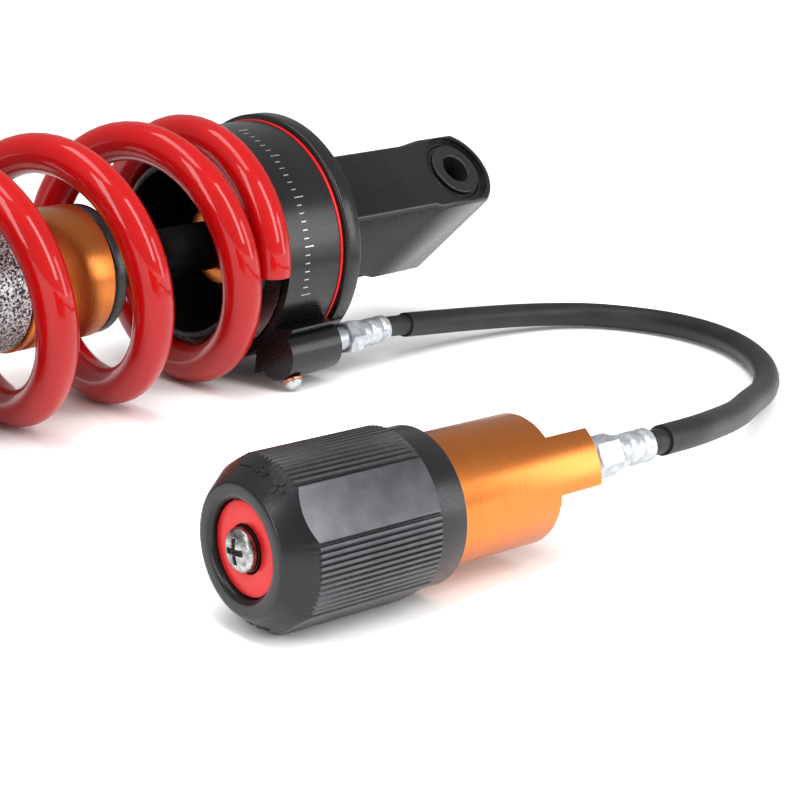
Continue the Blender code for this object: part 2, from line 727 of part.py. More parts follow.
def build_lower_eye():
    """Foot that closes the damper tube, with the lower eye across its end."""
    well = TUBE_RADIUS + GAP
    floor = TUBE_REAR - GAP
    foot = [
        (0, floor),
        (well, floor),
        (well, LOWER_TOP),
        (FOOT_RADIUS - 0.0010, LOWER_TOP),
        (FOOT_RADIUS, LOWER_TOP - 0.0010),
        (FOOT_RADIUS, LOWER_BOTTOM + 0.0040),
        (FOOT_RADIUS - 0.0040, LOWER_BOTTOM),
        (0, LOWER_BOTTOM),
    ]
    body = turned("lower_eye", foot)
    middle = (LOWER_BOTTOM + 0.003 + LOWER_EYE) / 2
    height = LOWER_BOTTOM + 0.003 - LOWER_EYE
    neck = block("neck", (LOWER_HALF_WIDTH * 2 - 0.002, NECK_HALF * 2, height), (0, 0, middle))
    join(body, neck, SHOCK)
    across = lying(True, (0, 0, LOWER_EYE))
    join(body, cylinder("barrel", LOWER_EYE_RADIUS, LOWER_HALF_WIDTH * 2, across, ROUND), SHOCK)
    cut(body, cylinder("lower_bore", LOWER_BORE, LOWER_HALF_WIDTH * 3, across, ROUND), SHOCK)
    finish(body, "lower_eye", "black_anodised", SHOCK)

    outer = LOWER_BORE - GAP
    inner = outer - BUSH_WALL
    half = LOWER_HALF_WIDTH - 0.0003
    sock = tube_profile(outer, inner, half, -half, 0.0004)
    bush = turned_part("lower_bush", sock, "rubber", SHOCK, SMALL)
    ends = LOWER_SLEEVE_HALF
    tube = tube_profile(inner - RUN, BOLT_HOLE, ends, -ends, 0.0004)
    sleeve = turned_part("lower_eye_sleeve", tube, "steel", SHOCK, SMALL)
    for piece in (bush, sleeve):
        piece.location = (0, 0, LOWER_EYE)
        piece.rotation_euler = (0, math.pi / 2, 0)


def spring_advance(turn):
    """Turns' worth of pitch gained by this turn: flat, opening, open, closing, flat."""
    def ramp(value):
        value = min(max(value, 0), RAMP_TURNS)
        return value * value / (2 * RAMP_TURNS)

    opened = turn - CLOSED_TURNS
    closed = turn - (TURNS - CLOSED_TURNS - RAMP_TURNS)
    full = min(max(opened - RAMP_TURNS, 0), TURNS - 2 * CLOSED_TURNS - 2 * RAMP_TURNS)
    ending = min(max(closed, 0), RAMP_TURNS)
    return ramp(opened) + full + ending - ending * ending / (2 * RAMP_TURNS)


def build_spring():
    per_turn = 18
    count = round(TURNS * per_turn) + 1
    points = []
    for step in range(count):
        turn = TURNS * step / (count - 1)
        angle = SPRING_END_ANGLE - EYE_ROLL - 360 * turn
        points.append((*polar(COIL_RADIUS, angle), SPRING_TOP - PITCH * spring_advance(turn)))
    wire_part("spring", points, WIRE_RADIUS, "red_powder_coat", SHOCK)


def wire_curve(name, points, radius, caps=True):
    curve = bpy.data.curves.new(name, "CURVE")
    curve.dimensions = "3D"
    curve.bevel_depth = radius
    curve.bevel_resolution = 2
    curve.use_fill_caps = caps
    spline = curve.splines.new("POLY")
    spline.points.add(len(points) - 1)
    for point, place in zip(spline.points, points):
        point.co = (*place, 1)
    shape = bpy.data.objects.new(name, curve)
    bpy.context.scene.collection.objects.link(shape)
    return shape


def wire_part(name, points, radius, material, parent):
    shape = wire_curve(name, points, radius)
    return finish(shape, name, material, parent)


# ---------------------------------------------------------------- pump
def knob_outline():
    """Cross-section of the grip: flats, with arcs of flutes between them."""
    arc = 360 / FLAT_COUNT - 2 * FLAT_HALF_ANGLE
    flute = arc / FLUTES_PER_ARC
    outline = []
    for flat in range(FLAT_COUNT):
        start = FLAT_START + 360 * flat / FLAT_COUNT + FLAT_HALF_ANGLE
        for step in range(FLUTES_PER_ARC):
            outline.append(polar(KNOB_RADIUS + 0.0001, start + flute * step))
            outline.append(polar(KNOB_RADIUS - FLUTE_DEPTH, start + flute * (step + 0.5)))
        outline.append(polar(KNOB_RADIUS + 0.0001, start + arc))
    return outline


def build_knob():
    cavity = BODY_RADIUS + 0.0005
    lip = KNOB_LENGTH - KNOB_LIP
    nose = [
        (KNOB_NOSE_RADIUS + KNOB_LIP * 0.6, -lip),
        (KNOB_NOSE_RADIUS, -KNOB_LENGTH + KNOB_LIP * 0.25),
        (KNOB_NOSE_RADIUS - KNOB_LIP * 0.7, -KNOB_LENGTH),
    ]
    profile = [
        (0, KNOB_WEB_REAR),
        (cavity, KNOB_WEB_REAR),
        (cavity, 0),
        (KNOB_SKIRT_RADIUS - 0.0004, 0),
        (KNOB_SKIRT_RADIUS, -0.0004),
        (KNOB_SKIRT_RADIUS, -KNOB_SKIRT),
        (KNOB_RADIUS, -KNOB_SKIRT - 0.0011),
        (KNOB_RADIUS, -KNOB_SHOULDER),
        *nose,
        (KNOB_MOUTH_RADIUS + KNOB_LIP, -KNOB_LENGTH),
        (KNOB_MOUTH_RADIUS, -KNOB_LENGTH + KNOB_LIP),
        (KNOB_MOUTH_RADIUS, KNOB_WEB_FRONT),
        (0, KNOB_WEB_FRONT),
    ]
    knob = turned("knob", profile, 36)
    middle = Matrix.Translation((0, 0, -KNOB_LENGTH / 2))
    grip = prism("grip", knob_outline(), KNOB_LENGTH, middle)
    combine(knob, grip, "INTERSECT", PUMP)
    drive = DRIVE_HEX + GAP / math.cos(math.pi / 6)
    cut(knob, cylinder("drive_hex", drive, KNOB_LENGTH, middle, 6), PUMP)
    finish(knob, "knob", "knob_anodised", PUMP)

    front = KNOB_WEB_FRONT - GAP
    disc = tube_profile(DISC_RADIUS, DISC_HOLE, front, front - DISC_THICK)
    turned_part("knob_disc", disc, "red_anodised", PUMP)
    washer = tube_profile(DISC_HOLE - RUN, SCREW_RADIUS + GAP, front, front - 0.0006)
    turned_part("knob_washer", washer, "black_anodised", PUMP, SMALL)

    base = front - 0.0006 - GAP
    head = [
        (0, base + SCREW_LENGTH),
        (SCREW_RADIUS, base + SCREW_LENGTH),
        (SCREW_RADIUS, base),
        (SCREW_HEAD_RADIUS, base),
        (SCREW_HEAD_RADIUS, base - SCREW_HEAD_HEIGHT * 0.35),
        (SCREW_HEAD_RADIUS * 0.90, base - SCREW_HEAD_HEIGHT * 0.68),
        (SCREW_HEAD_RADIUS * 0.62, base - SCREW_HEAD_HEIGHT * 0.92),
        (0, base - SCREW_HEAD_HEIGHT),
    ]
    screw = turned("knob_screw", head, SMALL)
    for turn in (0, 90):
        slot = block("cross", (0.0048, 0.0011, 0.0030), (0, 0, base - SCREW_HEAD_HEIGHT))
        slot.rotation_euler = (0, 0, math.radians(turn + 20))
        cut(screw, slot, PUMP)
    finish(screw, "knob_screw", "zinc", PUMP)


def build_spindle():
    hole = SCREW_RADIUS + GAP
    drive_front = KNOB_WEB_FRONT + 0.0004
    drive_rear = KNOB_WEB_REAR + GAP
    profile = [
        (0, SPINDLE_TIP),
        (SPINDLE_RADIUS - 0.0006, SPINDLE_TIP),
        (SPINDLE_RADIUS, SPINDLE_TIP - 0.0006),
        (SPINDLE_RADIUS, FLANGE_END),
        (SPINDLE_FLANGE, FLANGE_END),
        (SPINDLE_FLANGE, FLANGE_X),
        (SPINDLE_NECK, FLANGE_X),
        (SPINDLE_NECK, drive_rear),
        (0, drive_rear),
    ]
    spindle = turned("spindle", profile, SMALL)
    length = drive_rear + 0.001 - drive_front
    place = Matrix.Translation((0, 0, drive_front + length / 2))
    join(spindle, cylinder("hex_end", DRIVE_HEX, length, place, 6), PUMP)
    depth = SCREW_LENGTH + 0.003
    place = Matrix.Translation((0, 0, drive_front - 0.001 + depth / 2))
    cut(spindle, cylinder("screw_hole", hole, depth, place, TINY), PUMP)
    finish(spindle, "spindle", "steel", PUMP)

    outer = CAP_SEAT - GAP
    bore = SPINDLE_NECK + RUN
    cap = turned("bearing_cap", tube_profile(outer, bore, CAP_REAR, CAP_FRONT, 0.0003))
    pocket = Matrix.Translation((BALL_CIRCLE, 0, CAP_FRONT))
    cut(cap, cylinder("ball_pocket", BALL_RADIUS + GAP, 0.0064, pocket, TINY), PUMP)
    finish(cap, "bearing_cap", "bronze", PUMP)
    ring = tube_profile(outer, bore, WASHER_X + WASHER_THICK, WASHER_X)
    turned_part("thrust_washer", ring, "bronze", PUMP)

    ball = BALL_RADIUS
    height = CAP_FRONT - 0.0006
    arc = [polar(ball, 90 - 22.5 * step) for step in range(1, 8)]
    profile = [(0, ball), *arc, (0, -ball)]
    piece = turned_part("detent_ball", profile, "steel", PUMP, TINY)
    piece.location = (BALL_CIRCLE, 0, height)
    top = CAP_FRONT + 0.0030
    low = height + ball + GAP + 0.0002
    coil = []
    for step in range(25):
        across, up = polar(0.0010, 45 * step)
        coil.append((BALL_CIRCLE + across, up, low + (top - low) * step / 24))
    wire_part("detent_spring", coil, 0.0002, "steel", PUMP)


def build_pump_body():
    profile = [
        (0, TONGUE_END),
        (BODY_RADIUS - 0.0005, TONGUE_END),
        (BODY_RADIUS, TONGUE_END - 0.0005),
        (BODY_RADIUS, -BODY_IN_KNOB + 0.0004),
        (BODY_RADIUS - 0.0004, -BODY_IN_KNOB),
        (CAP_SEAT, -BODY_IN_KNOB),
        (CAP_SEAT, -BODY_IN_KNOB + CAP_SEAT_DEPTH),
        (BARREL_BORE, -BODY_IN_KNOB + CAP_SEAT_DEPTH),
        (BARREL_BORE, BARREL_END),
        (0, BARREL_END),
    ]
    body = turned("pump_body", profile, 36)
    deep = BODY_RADIUS + 0.002 - TONGUE_HALF
    long = TONGUE_LENGTH + 0.002
    for side in (-1, 1):
        centre = (0, side * (TONGUE_HALF + deep / 2), BODY_LENGTH + long / 2)
        slab = block("tongue_side", (BODY_RADIUS * 2.4, deep, long), centre)
        edge = slab.modifiers.new("Bevel", "BEVEL")
        edge.width = 0.0012
        edge.segments = 2
        cut(body, slab, PUMP)
    # oil way from the bore to the hose fitting
    way = TONGUE_END - BARREL_END + 0.002
    place = Matrix.Translation((0, 0, TONGUE_END + 0.001 - way / 2))
    cut(body, cylinder("oil_way", BORE_RADIUS, way, place, 12), PUMP)
    place = Matrix.Translation((0, 0, TONGUE_END - NIPPLE_DEPTH / 2 + 0.001))
    cut(body, cylinder("port", NIPPLE_RADIUS + GAP, NIPPLE_DEPTH + 0.003, place, TINY), PUMP)
    pin = cylinder("key_hole", KEY_RADIUS + 0.0001, 0.012, lying(True, (-BODY_RADIUS, 0, KEY_X)), 12)
    cut(body, pin, PUMP)
    finish(body, "pump_body", "orange_anodised", PUMP)

    key = rod_profile(KEY_RADIUS, BODY_RADIUS - 0.0006, BARREL_BORE - 0.0012)
    piece = turned_part("piston_key", key, "steel", PUMP, 12)
    piece.rotation_euler = (0, -math.pi / 2, 0)
    piece.location = (0, 0, KEY_X)


def build_pump_piston():
    outer = BARREL_BORE - RUN
    bore = SPINDLE_RADIUS + GAP
    seat = PISTON_FRONT - 0.0040
    half = PISTON_SEAL_WIRE + 0.0003
    profile = [
        (0, PISTON_FRONT),
        (outer - 0.0005, PISTON_FRONT),
        (outer, PISTON_FRONT - 0.0005),
        (outer, seat + half),
        (outer - 2 * half, seat + half),
        (outer - 2 * half, seat - half),
        (outer, seat - half),
        (outer, PISTON_REAR),
        (bore, PISTON_REAR),
        (bore, PISTON_BORE_END),
        (0, PISTON_BORE_END),
    ]
    piston = turned("pump_piston", profile)
    # slot that the key runs in, so that the piston slides and can't turn
    start = KEY_X + KEY_RADIUS + GAP * 2
    length = start - PISTON_REAR + 0.020
    size = (0.0040, KEY_RADIUS * 2 + GAP * 2, length)
    slot = block("key_way", size, (-BARREL_BORE, 0, start - length / 2))
    cut(piston, slot, PUMP)
    finish(piston, "pump_piston", "steel", PUMP)
    ring = seal_profile(outer - PISTON_SEAL_WIRE + 0.0002, seat, PISTON_SEAL_WIRE)
    turned_part("piston_seal", ring, "rubber", PUMP, ROUND)


def build_pump_bleed():
    """Bleed screw on the underside of the tongue."""
    seat = TONGUE_HALF + GAP
    washer = tube_profile(BLEED_HEAD + 0.0003, 0.0018, seat + 0.0006, seat)
    base = seat + 0.0006 + 0.0001
    head = rod_profile(BLEED_HEAD, base + BLEED_HEIGHT, base, 0.0004)
    for name, profile, material in (
        ("pump_bleed_washer", washer, "copper"),
        ("pump_bleed_screw", head, "zinc"),
    ):
        piece = turned_part(name, profile, material, PUMP, SMALL)
        piece.rotation_euler = (-math.pi / 2, 0, 0)
        piece.location = (0, 0, BLEED_X)


# ---------------------------------------------------------------- hose and its fittings
def build_fitting(name, parent, port, seat, neck, hexagon):
    """Nipple, neck and hexagon in one piece, and the ferrule crimped on the hose."""
    foot = seat + GAP
    collar = foot + neck
    end = collar + hexagon
    profile = [
        (HOSE_RADIUS, end),
        (HOSE_RADIUS, collar),
        (NECK_RADIUS, collar),
        (NECK_RADIUS, foot),
        (NIPPLE_RADIUS, foot),
        (NIPPLE_RADIUS, foot - NIPPLE_DEPTH + 0.0006),
        (BORE_RADIUS, foot - NIPPLE_DEPTH + 0.0006),
        (BORE_RADIUS, end),
    ]
    body = turned(f"{name}_fitting", profile, SMALL)
    place = Matrix.Translation((0, 0, (collar + end) / 2))
    nut = cylinder("nut", HEX_RADIUS, hexagon - 0.0002, place, 6)
    edge = nut.modifiers.new("Bevel", "BEVEL")
    edge.width = 0.0003
    edge.segments = 1
    frame = bpy.data.objects.new(f"{name}_port_axis", None)
    PARTS.objects.link(frame)
    frame.parent = parent
    frame.location = (*port, 0)
    join(body, nut, frame)
    way = end - foot + NIPPLE_DEPTH + 0.004
    place = Matrix.Translation((0, 0, (foot + end - NIPPLE_DEPTH) / 2))
    cut(body, cylinder("bore", BORE_RADIUS + 0.0001, way, place, 12), frame)
    finish(body, f"{name}_fitting", "zinc", frame)

    first = end + GAP
    last = first + FERRULE_LENGTH
    ring = [(FERRULE_RADIUS - 0.0004, last), (FERRULE_RADIUS, last - 0.0005)]
    for share in (0.66, 0.33):
        middle = first + FERRULE_LENGTH * share
        ring.append((FERRULE_RADIUS, middle + 0.0011))
        ring.append((FERRULE_RADIUS - CRIMP_DEPTH, middle + 0.0004))
        ring.append((FERRULE_RADIUS - CRIMP_DEPTH, middle - 0.0004))
        ring.append((FERRULE_RADIUS, middle - 0.0011))
    ring += [(FERRULE_RADIUS, first), (HOSE_RADIUS + GAP, first), (HOSE_RADIUS + GAP, last)]
    turned_part(f"{name}_ferrule", ring, "zinc", frame, SMALL)
    return first, last


# route of the hose over the table, from the collar's fitting to the pump's
HOSE_ROUTE = [
    (0.0430, -0.0277, 0.0082),
    (0.0599, -0.0298, 0.0068),
    (0.0755, -0.0327, 0.0055),
    (0.0880, -0.0376, 0.0046),
    (0.0973, -0.0450, 0.0042),
    (0.1030, -0.0550, 0.0040),
    (0.1060, -0.0668, 0.0040),
    (0.1058, -0.0795, 0.0040),
    (0.1018, -0.0933, 0.0040),
    (0.0942, -0.1060, 0.0040),
    (0.0840, -0.1175, 0.0041),
    (0.0700, -0.1283, 0.0046),
    (0.0530, -0.1378, 0.0061),
    (0.0335, -0.1462, 0.0087),
    (0.0110, -0.1560, 0.0120),
    (-0.0100, -0.1630, 0.0153),
    (-0.0245, -0.1668, 0.0174),
]


def smooth_path(points, step):
    """Points an even step apart along a Catmull-Rom curve through the given points."""
    ends = [points[0] * 2 - points[1], *points, points[-1] * 2 - points[-2]]
    fine = []
    for before, start, stop, after in zip(ends, ends[1:], ends[2:], ends[3:]):
        for part in range(24):
            t = part / 24
            linear = (stop - before) * t
            square = (before * 2 - start * 5 + stop * 4 - after) * t * t
            cube = (start * 3 - before - stop * 3 + after) * t * t * t
            fine.append((start * 2 + linear + square + cube) / 2)
    fine.append(points[-1])
    travelled = [0.0]
    for first, second in zip(fine, fine[1:]):
        travelled.append(travelled[-1] + (second - first).length)
    count = round(travelled[-1] / step)
    path = []
    index = 0
    for number in range(count + 1):
        target = travelled[-1] * number / count
        while index < len(fine) - 2 and travelled[index + 1] < target:
            index += 1
        share = (target - travelled[index]) / (travelled[index + 1] - travelled[index])
        path.append(fine[index].lerp(fine[index + 1], min(share, 1)))
    return path


def build_hose():
    port = polar(PORT_RADIUS, PORT_ANGLE)
    first, last = build_fitting("collar", SHOCK, port, COLLAR_REAR, COLLAR_NECK, COLLAR_HEX)
    start, stop = build_fitting("pump", PUMP, (0, 0), TONGUE_END, PUMP_NECK, PUMP_HEX)
    front = (first, last, last + HOSE_STRAIGHT)
    route = [SHOCK.matrix_world @ Vector((*port, height)) for height in front]
    route += [Vector(place) + OFFSET for place in HOSE_ROUTE]
    back = (stop + HOSE_STRAIGHT, stop, start)
    route += [PUMP.matrix_world @ Vector((0, 0, height)) for height in back]
    path = smooth_path(route, HOSE_STEP)
    wire_part("hose_core", path, HOSE_RADIUS, "rubber", None)

    covered = []
    from_start = 0.0
    total = sum((b - a).length for a, b in zip(path, path[1:]))
    for before, place in zip([path[0], *path], path):
        from_start += (place - before).length
        bare_start = FERRULE_LENGTH + SLEEVE_START
        bare_stop = FERRULE_LENGTH + SLEEVE_STOP
        if bare_start < from_start < total - bare_stop:
            covered.append(place)
    shape = wire_curve("hose_sleeve", covered, SLEEVE_RADIUS, caps=False)
    sleeve = curve_to_mesh(shape, Matrix.Identity(4))
    wall = sleeve.modifiers.new("Solidify", "SOLIDIFY")
    wall.thickness = SLEEVE_RADIUS - HOSE_RADIUS - GAP
    wall.offset = -1
    finish(sleeve, "hose_sleeve", "rubber", None)


build_upper_eye()
build_collar()
build_collar_screw()
build_rod()
build_damper()
build_lower_seat()
build_lower_eye()
build_spring()
build_knob()
build_spindle()
build_pump_body()
build_pump_piston()
build_pump_bleed()
build_hose()
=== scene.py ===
import json
import math
import bpy
from mathutils import Matrix, Vector


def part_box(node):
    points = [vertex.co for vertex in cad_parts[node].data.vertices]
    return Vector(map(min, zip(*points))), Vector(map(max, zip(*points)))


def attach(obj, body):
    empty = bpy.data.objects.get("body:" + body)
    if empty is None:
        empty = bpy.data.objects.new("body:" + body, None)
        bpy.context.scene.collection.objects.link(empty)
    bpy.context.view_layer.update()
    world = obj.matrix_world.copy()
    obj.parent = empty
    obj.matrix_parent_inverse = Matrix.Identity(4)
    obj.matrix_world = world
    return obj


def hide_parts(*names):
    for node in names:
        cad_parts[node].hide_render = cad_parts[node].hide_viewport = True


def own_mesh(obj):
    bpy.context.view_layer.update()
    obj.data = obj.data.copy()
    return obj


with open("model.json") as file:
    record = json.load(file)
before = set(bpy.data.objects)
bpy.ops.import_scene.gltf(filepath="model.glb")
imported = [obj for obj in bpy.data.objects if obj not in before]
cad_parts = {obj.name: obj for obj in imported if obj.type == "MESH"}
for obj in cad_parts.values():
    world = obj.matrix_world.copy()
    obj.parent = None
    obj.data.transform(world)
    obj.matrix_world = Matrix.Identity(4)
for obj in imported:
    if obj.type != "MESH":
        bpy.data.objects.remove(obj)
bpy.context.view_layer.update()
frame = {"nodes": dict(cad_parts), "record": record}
nodes = frame["nodes"]
rootBody = "shock_upper"

# where things are: the shock's axis and the pump's axis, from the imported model
flangeLow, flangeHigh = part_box("top_flange")
rearRim = Vector((flangeHigh[0], (flangeLow[1] + flangeHigh[1]) / 2, (flangeLow[2] + flangeHigh[2]) / 2))
eyeRoll = 48.0  # bore axis of the upper eye, degrees from up towards the pump


def axisFrame(place, yaw, roll):
    turn = Matrix.Rotation(math.radians(yaw), 4, "Z")
    tip = Matrix.Rotation(math.radians(180 + roll), 4, "X")
    return Matrix.Translation(place) @ turn @ tip @ Matrix.Rotation(math.pi / 2, 4, "Y")


shockFrame = axisFrame(rearRim, 0, eyeRoll)
tableOffset = Vector((rearRim.x, rearRim.y, 0))
pumpStand = {"place": (-0.1126, -0.1575, 0.0184), "yaw": -7.66, "roll": 63.7}  # from below the rear rim
pumpFrame = axisFrame(tableOffset + Vector(pumpStand["place"]), pumpStand["yaw"], pumpStand["roll"])


# camera, placed from below the rear rim and turned by tilt, roll and heading
view = {"place": (-0.40670, -0.42124, 0.15499), "turn": (73.9339, -0.7596, -47.4641), "lens": 90,
        "sensor": 36, "near": 0.01}


def setCamera():
    optics = bpy.data.cameras.new("camera")
    optics.lens = view["lens"]
    optics.sensor_width = view["sensor"]
    optics.clip_start = view["near"]
    camera = bpy.data.objects.new("camera", optics)
    bpy.context.scene.collection.objects.link(camera)
    camera.location = tableOffset + Vector(view["place"])
    camera.rotation_euler = [math.radians(degrees) for degrees in view["turn"]]
    bpy.context.scene.camera = camera


setCamera()
print("camera set")


# modelling tools
weldGap = 0.000002  # points nearer than this become one
fit = 0.0003  # gap between neighbouring pieces
throughLength = 0.06  # length of a cutting tool that goes right through


def polar(radius, degrees):
    return radius * math.cos(math.radians(degrees)), radius * math.sin(math.radians(degrees))


def selectOnly(*pieces):
    if bpy.context.mode != "OBJECT":
        bpy.ops.object.mode_set(mode="OBJECT")
    bpy.ops.object.select_all(action="DESELECT")
    for piece in pieces:
        piece.select_set(True)
    if pieces:
        bpy.context.view_layer.objects.active = pieces[0]


def keepAs(name):
    piece = bpy.context.active_object
    piece.name = name
    return piece


def drawLine(name, points, closed=False):
    selectOnly()
    bpy.ops.mesh.primitive_plane_add(size=0.001, location=(0, 0, 0))
    piece = keepAs(name)
    bpy.ops.object.mode_set(mode="EDIT")
    bpy.ops.mesh.select_all(action="SELECT")
    bpy.ops.mesh.merge(type="CENTER")
    places = [Vector(point) for point in points]
    bpy.ops.transform.translate(value=places[0])
    if closed:
        places.append(places[0])
    for before, after in zip(places, places[1:]):
        bpy.ops.mesh.extrude_vertices_move(TRANSFORM_OT_translate={"value": after - before})
    bpy.ops.mesh.select_all(action="SELECT")
    bpy.ops.mesh.remove_doubles(threshold=weldGap)
    return piece


def cleanMesh():
    bpy.ops.object.mode_set(mode="EDIT")
    bpy.ops.mesh.select_all(action="SELECT")
    bpy.ops.mesh.remove_doubles(threshold=weldGap)
    bpy.ops.mesh.normals_make_consistent(inside=False)
    bpy.ops.object.mode_set(mode="OBJECT")


def moveMesh(piece, place):
    selectOnly(piece)
    piece.matrix_world = place @ piece.matrix_world
    bpy.ops.object.transform_apply(location=True, rotation=True, scale=True)


def settle(piece, place, smoothAngle=32):
    moveMesh(piece, place)
    cleanMesh()
    bpy.ops.object.shade_smooth_by_angle(angle=math.radians(smoothAngle))
    return piece


def addModifier(piece, kind, **values):
    modifier = piece.modifiers.new(kind.title(), kind)
    for key, value in values.items():
        setattr(modifier, key, value)
    bpy.context.view_layer.objects.active = piece
    bpy.ops.object.modifier_apply(modifier=modifier.name)


def softEdges(piece, width, segments=2, angle=30):
    addModifier(piece, "BEVEL", width=width, segments=segments, limit_method="ANGLE",
                angle_limit=math.radians(angle), harden_normals=False, use_clamp_overlap=True)


def turnPiece(name, profile, place=None, steps=96, edge=0.0, segments=2):
    isRing = all(radius > 0 for radius, _ in profile)
    piece = drawLine(name, [(radius, 0, height) for radius, height in profile], isRing)
    bpy.ops.mesh.spin(steps=steps, angle=2 * math.pi, center=(0, 0, 0), axis=(0, 0, 1))
    cleanMesh()
    if edge > 0:
        softEdges(piece, edge, segments)
    return settle(piece, place) if place is not None else piece


def ringProfile(outer, inner, top, bottom):
    return [(outer, top), (outer, bottom), (inner, bottom), (inner, top)]


def plateFrom(name, outline, depth, place):
    piece = drawLine(name, [(across, along, -depth / 2) for across, along in outline], True)
    bpy.ops.mesh.edge_face_add()
    bpy.ops.mesh.extrude_region_move(TRANSFORM_OT_translate={"value": (0, 0, depth)})
    bpy.ops.mesh.select_all(action="SELECT")
    bpy.ops.mesh.normals_make_consistent(inside=False)
    moveMesh(piece, place)
    return piece


def rod(name, radius, length, place, sides=64):
    selectOnly()
    bpy.ops.mesh.primitive_cylinder_add(vertices=sides, radius=radius, depth=length)
    piece = keepAs(name)
    moveMesh(piece, place)
    return piece


def brick(name, size, place):
    selectOnly()
    bpy.ops.mesh.primitive_cube_add(size=1)
    piece = keepAs(name)
    piece.scale = size
    bpy.ops.object.transform_apply(location=False, rotation=False, scale=True)
    moveMesh(piece, place)
    return piece


def joinAs(name, pieces):
    selectOnly(*pieces)
    bpy.ops.object.join()
    return keepAs(name)


def shape(piece, tool, operation="DIFFERENCE"):
    addModifier(piece, "BOOLEAN", operation=operation, object=tool, solver="EXACT")
    bpy.data.objects.remove(tool, do_unlink=True)


def along(x=0.0, y=0.0, z=0.0, turn=0.0, axis="Z"):
    return Matrix.Translation((x, y, z)) @ Matrix.Rotation(math.radians(turn), 4, axis)


def place(piece, body, slot, *replaced, finish=None):
    piece.data.materials.clear()
    piece.data.materials.append(finishes[finish or slot])
    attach(piece, body)
    if replaced:
        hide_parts(*replaced)


# finishes: two shared groups, then one material for each finish
def newGroup(name, inputs, outputs):
    group = bpy.data.node_groups.new(name, "ShaderNodeTree")
    for label, value in inputs:
        socket = group.interface.new_socket(name=label, in_out="INPUT", socket_type="NodeSocketFloat")
        socket.default_value = value
    for label in outputs:
        group.interface.new_socket(name=label, in_out="OUTPUT", socket_type="NodeSocketFloat")
    return group, group.nodes.new("NodeGroupInput"), group.nodes.new("NodeGroupOutput")


def noiseIn(tree, detail):
    noise = tree.nodes.new("ShaderNodeTexNoise")
    noise.inputs["Detail"].default_value = detail
    noise.inputs["Roughness"].default_value = 0.55
    return noise


def buildGrain():
    group, given, result = newGroup("grain", [("Fine Scale", 900.0), ("Patch Scale", 40.0)],
                                    ["Fine", "Patch"])
    spot = group.nodes.new("ShaderNodeTexCoord")
    for label, detail in (("Fine", 3.0), ("Patch", 4.0)):
        noise = noiseIn(group, detail)
        group.links.new(given.outputs[f"{label} Scale"], noise.inputs["Scale"])
        group.links.new(spot.outputs["Object"], noise.inputs["Vector"])
        group.links.new(noise.outputs["Fac"], result.inputs[label])
    return group


def buildTurning():
    inputs = [("Line Scale", 2600.0), ("Band Scale", 420.0), ("Yaw", 0.0)]
    group, given, result = newGroup("turningLines", inputs, ["Line", "Band"])
    spot = group.nodes.new("ShaderNodeTexCoord")
    spread = group.nodes.new("ShaderNodeMapping")
    spread.vector_type = "TEXTURE"
    spread.inputs["Scale"].default_value = (1, 90, 90)  # drawn out round the axis
    heading = group.nodes.new("ShaderNodeCombineXYZ")
    group.links.new(given.outputs["Yaw"], heading.inputs["Z"])
    group.links.new(heading.outputs["Vector"], spread.inputs["Rotation"])
    group.links.new(spot.outputs["Object"], spread.inputs["Vector"])
    for label in ("Line", "Band"):
        noise = noiseIn(group, 2.0)
        group.links.new(given.outputs[f"{label} Scale"], noise.inputs["Scale"])
        group.links.new(spread.outputs["Vector"], noise.inputs["Vector"])
        group.links.new(noise.outputs["Fac"], result.inputs[label])
    return group


grain = buildGrain()
turning = buildTurning()


def ramp(tree, source, first, last, low, high):
    scale = tree.nodes.new("ShaderNodeMapRange")
    scale.inputs["From Min"].default_value = low
    scale.inputs["From Max"].default_value = high
    scale.inputs["To Min"].default_value = first
    scale.inputs["To Max"].default_value = last
    tree.links.new(source, scale.inputs["Value"])
    return scale.outputs["Result"]


def makeFinish(name, dark, light, rough, metallic=0.0, bump=0.02, fine=900, patch=40, lines=False,
               blend=0.15, coat=0.0, yaw=0.0, specular=0.5):
    material = bpy.data.materials.new(name)
    material.use_nodes = True
    tree = material.node_tree
    shader = tree.nodes["Principled BSDF"]
    shader.inputs["Metallic"].default_value = metallic
    shader.inputs["Specular IOR Level"].default_value = specular
    shader.inputs["Coat Weight"].default_value = coat
    shader.inputs["Coat Roughness"].default_value = 0.05
    marks = tree.nodes.new("ShaderNodeGroup")
    if lines:
        marks.node_tree = turning
        marks.inputs["Yaw"].default_value = math.radians(yaw)
        small, broad = marks.outputs["Line"], marks.outputs["Band"]
    else:
        marks.node_tree = grain
        marks.inputs["Fine Scale"].default_value = fine
        marks.inputs["Patch Scale"].default_value = patch
        small, broad = marks.outputs["Fine"], marks.outputs["Patch"]
    tint = tree.nodes.new("ShaderNodeMix")
    tint.data_type = "RGBA"
    tint.inputs["A"].default_value = (*dark, 1)
    tint.inputs["B"].default_value = (*light, 1)
    tree.links.new(ramp(tree, broad, 0, 1, 0.5 - blend, 0.5 + blend), tint.inputs["Factor"])
    tree.links.new(tint.outputs["Result"], shader.inputs["Base Color"])
    tree.links.new(ramp(tree, small, *rough, 0.3, 0.7), shader.inputs["Roughness"])
    lift = tree.nodes.new("ShaderNodeBump")
    lift.inputs["Strength"].default_value = bump
    lift.inputs["Distance"].default_value = 0.0002
    tree.links.new(small, lift.inputs["Height"])
    tree.links.new(lift.outputs["Normal"], shader.inputs["Normal"])
    return material


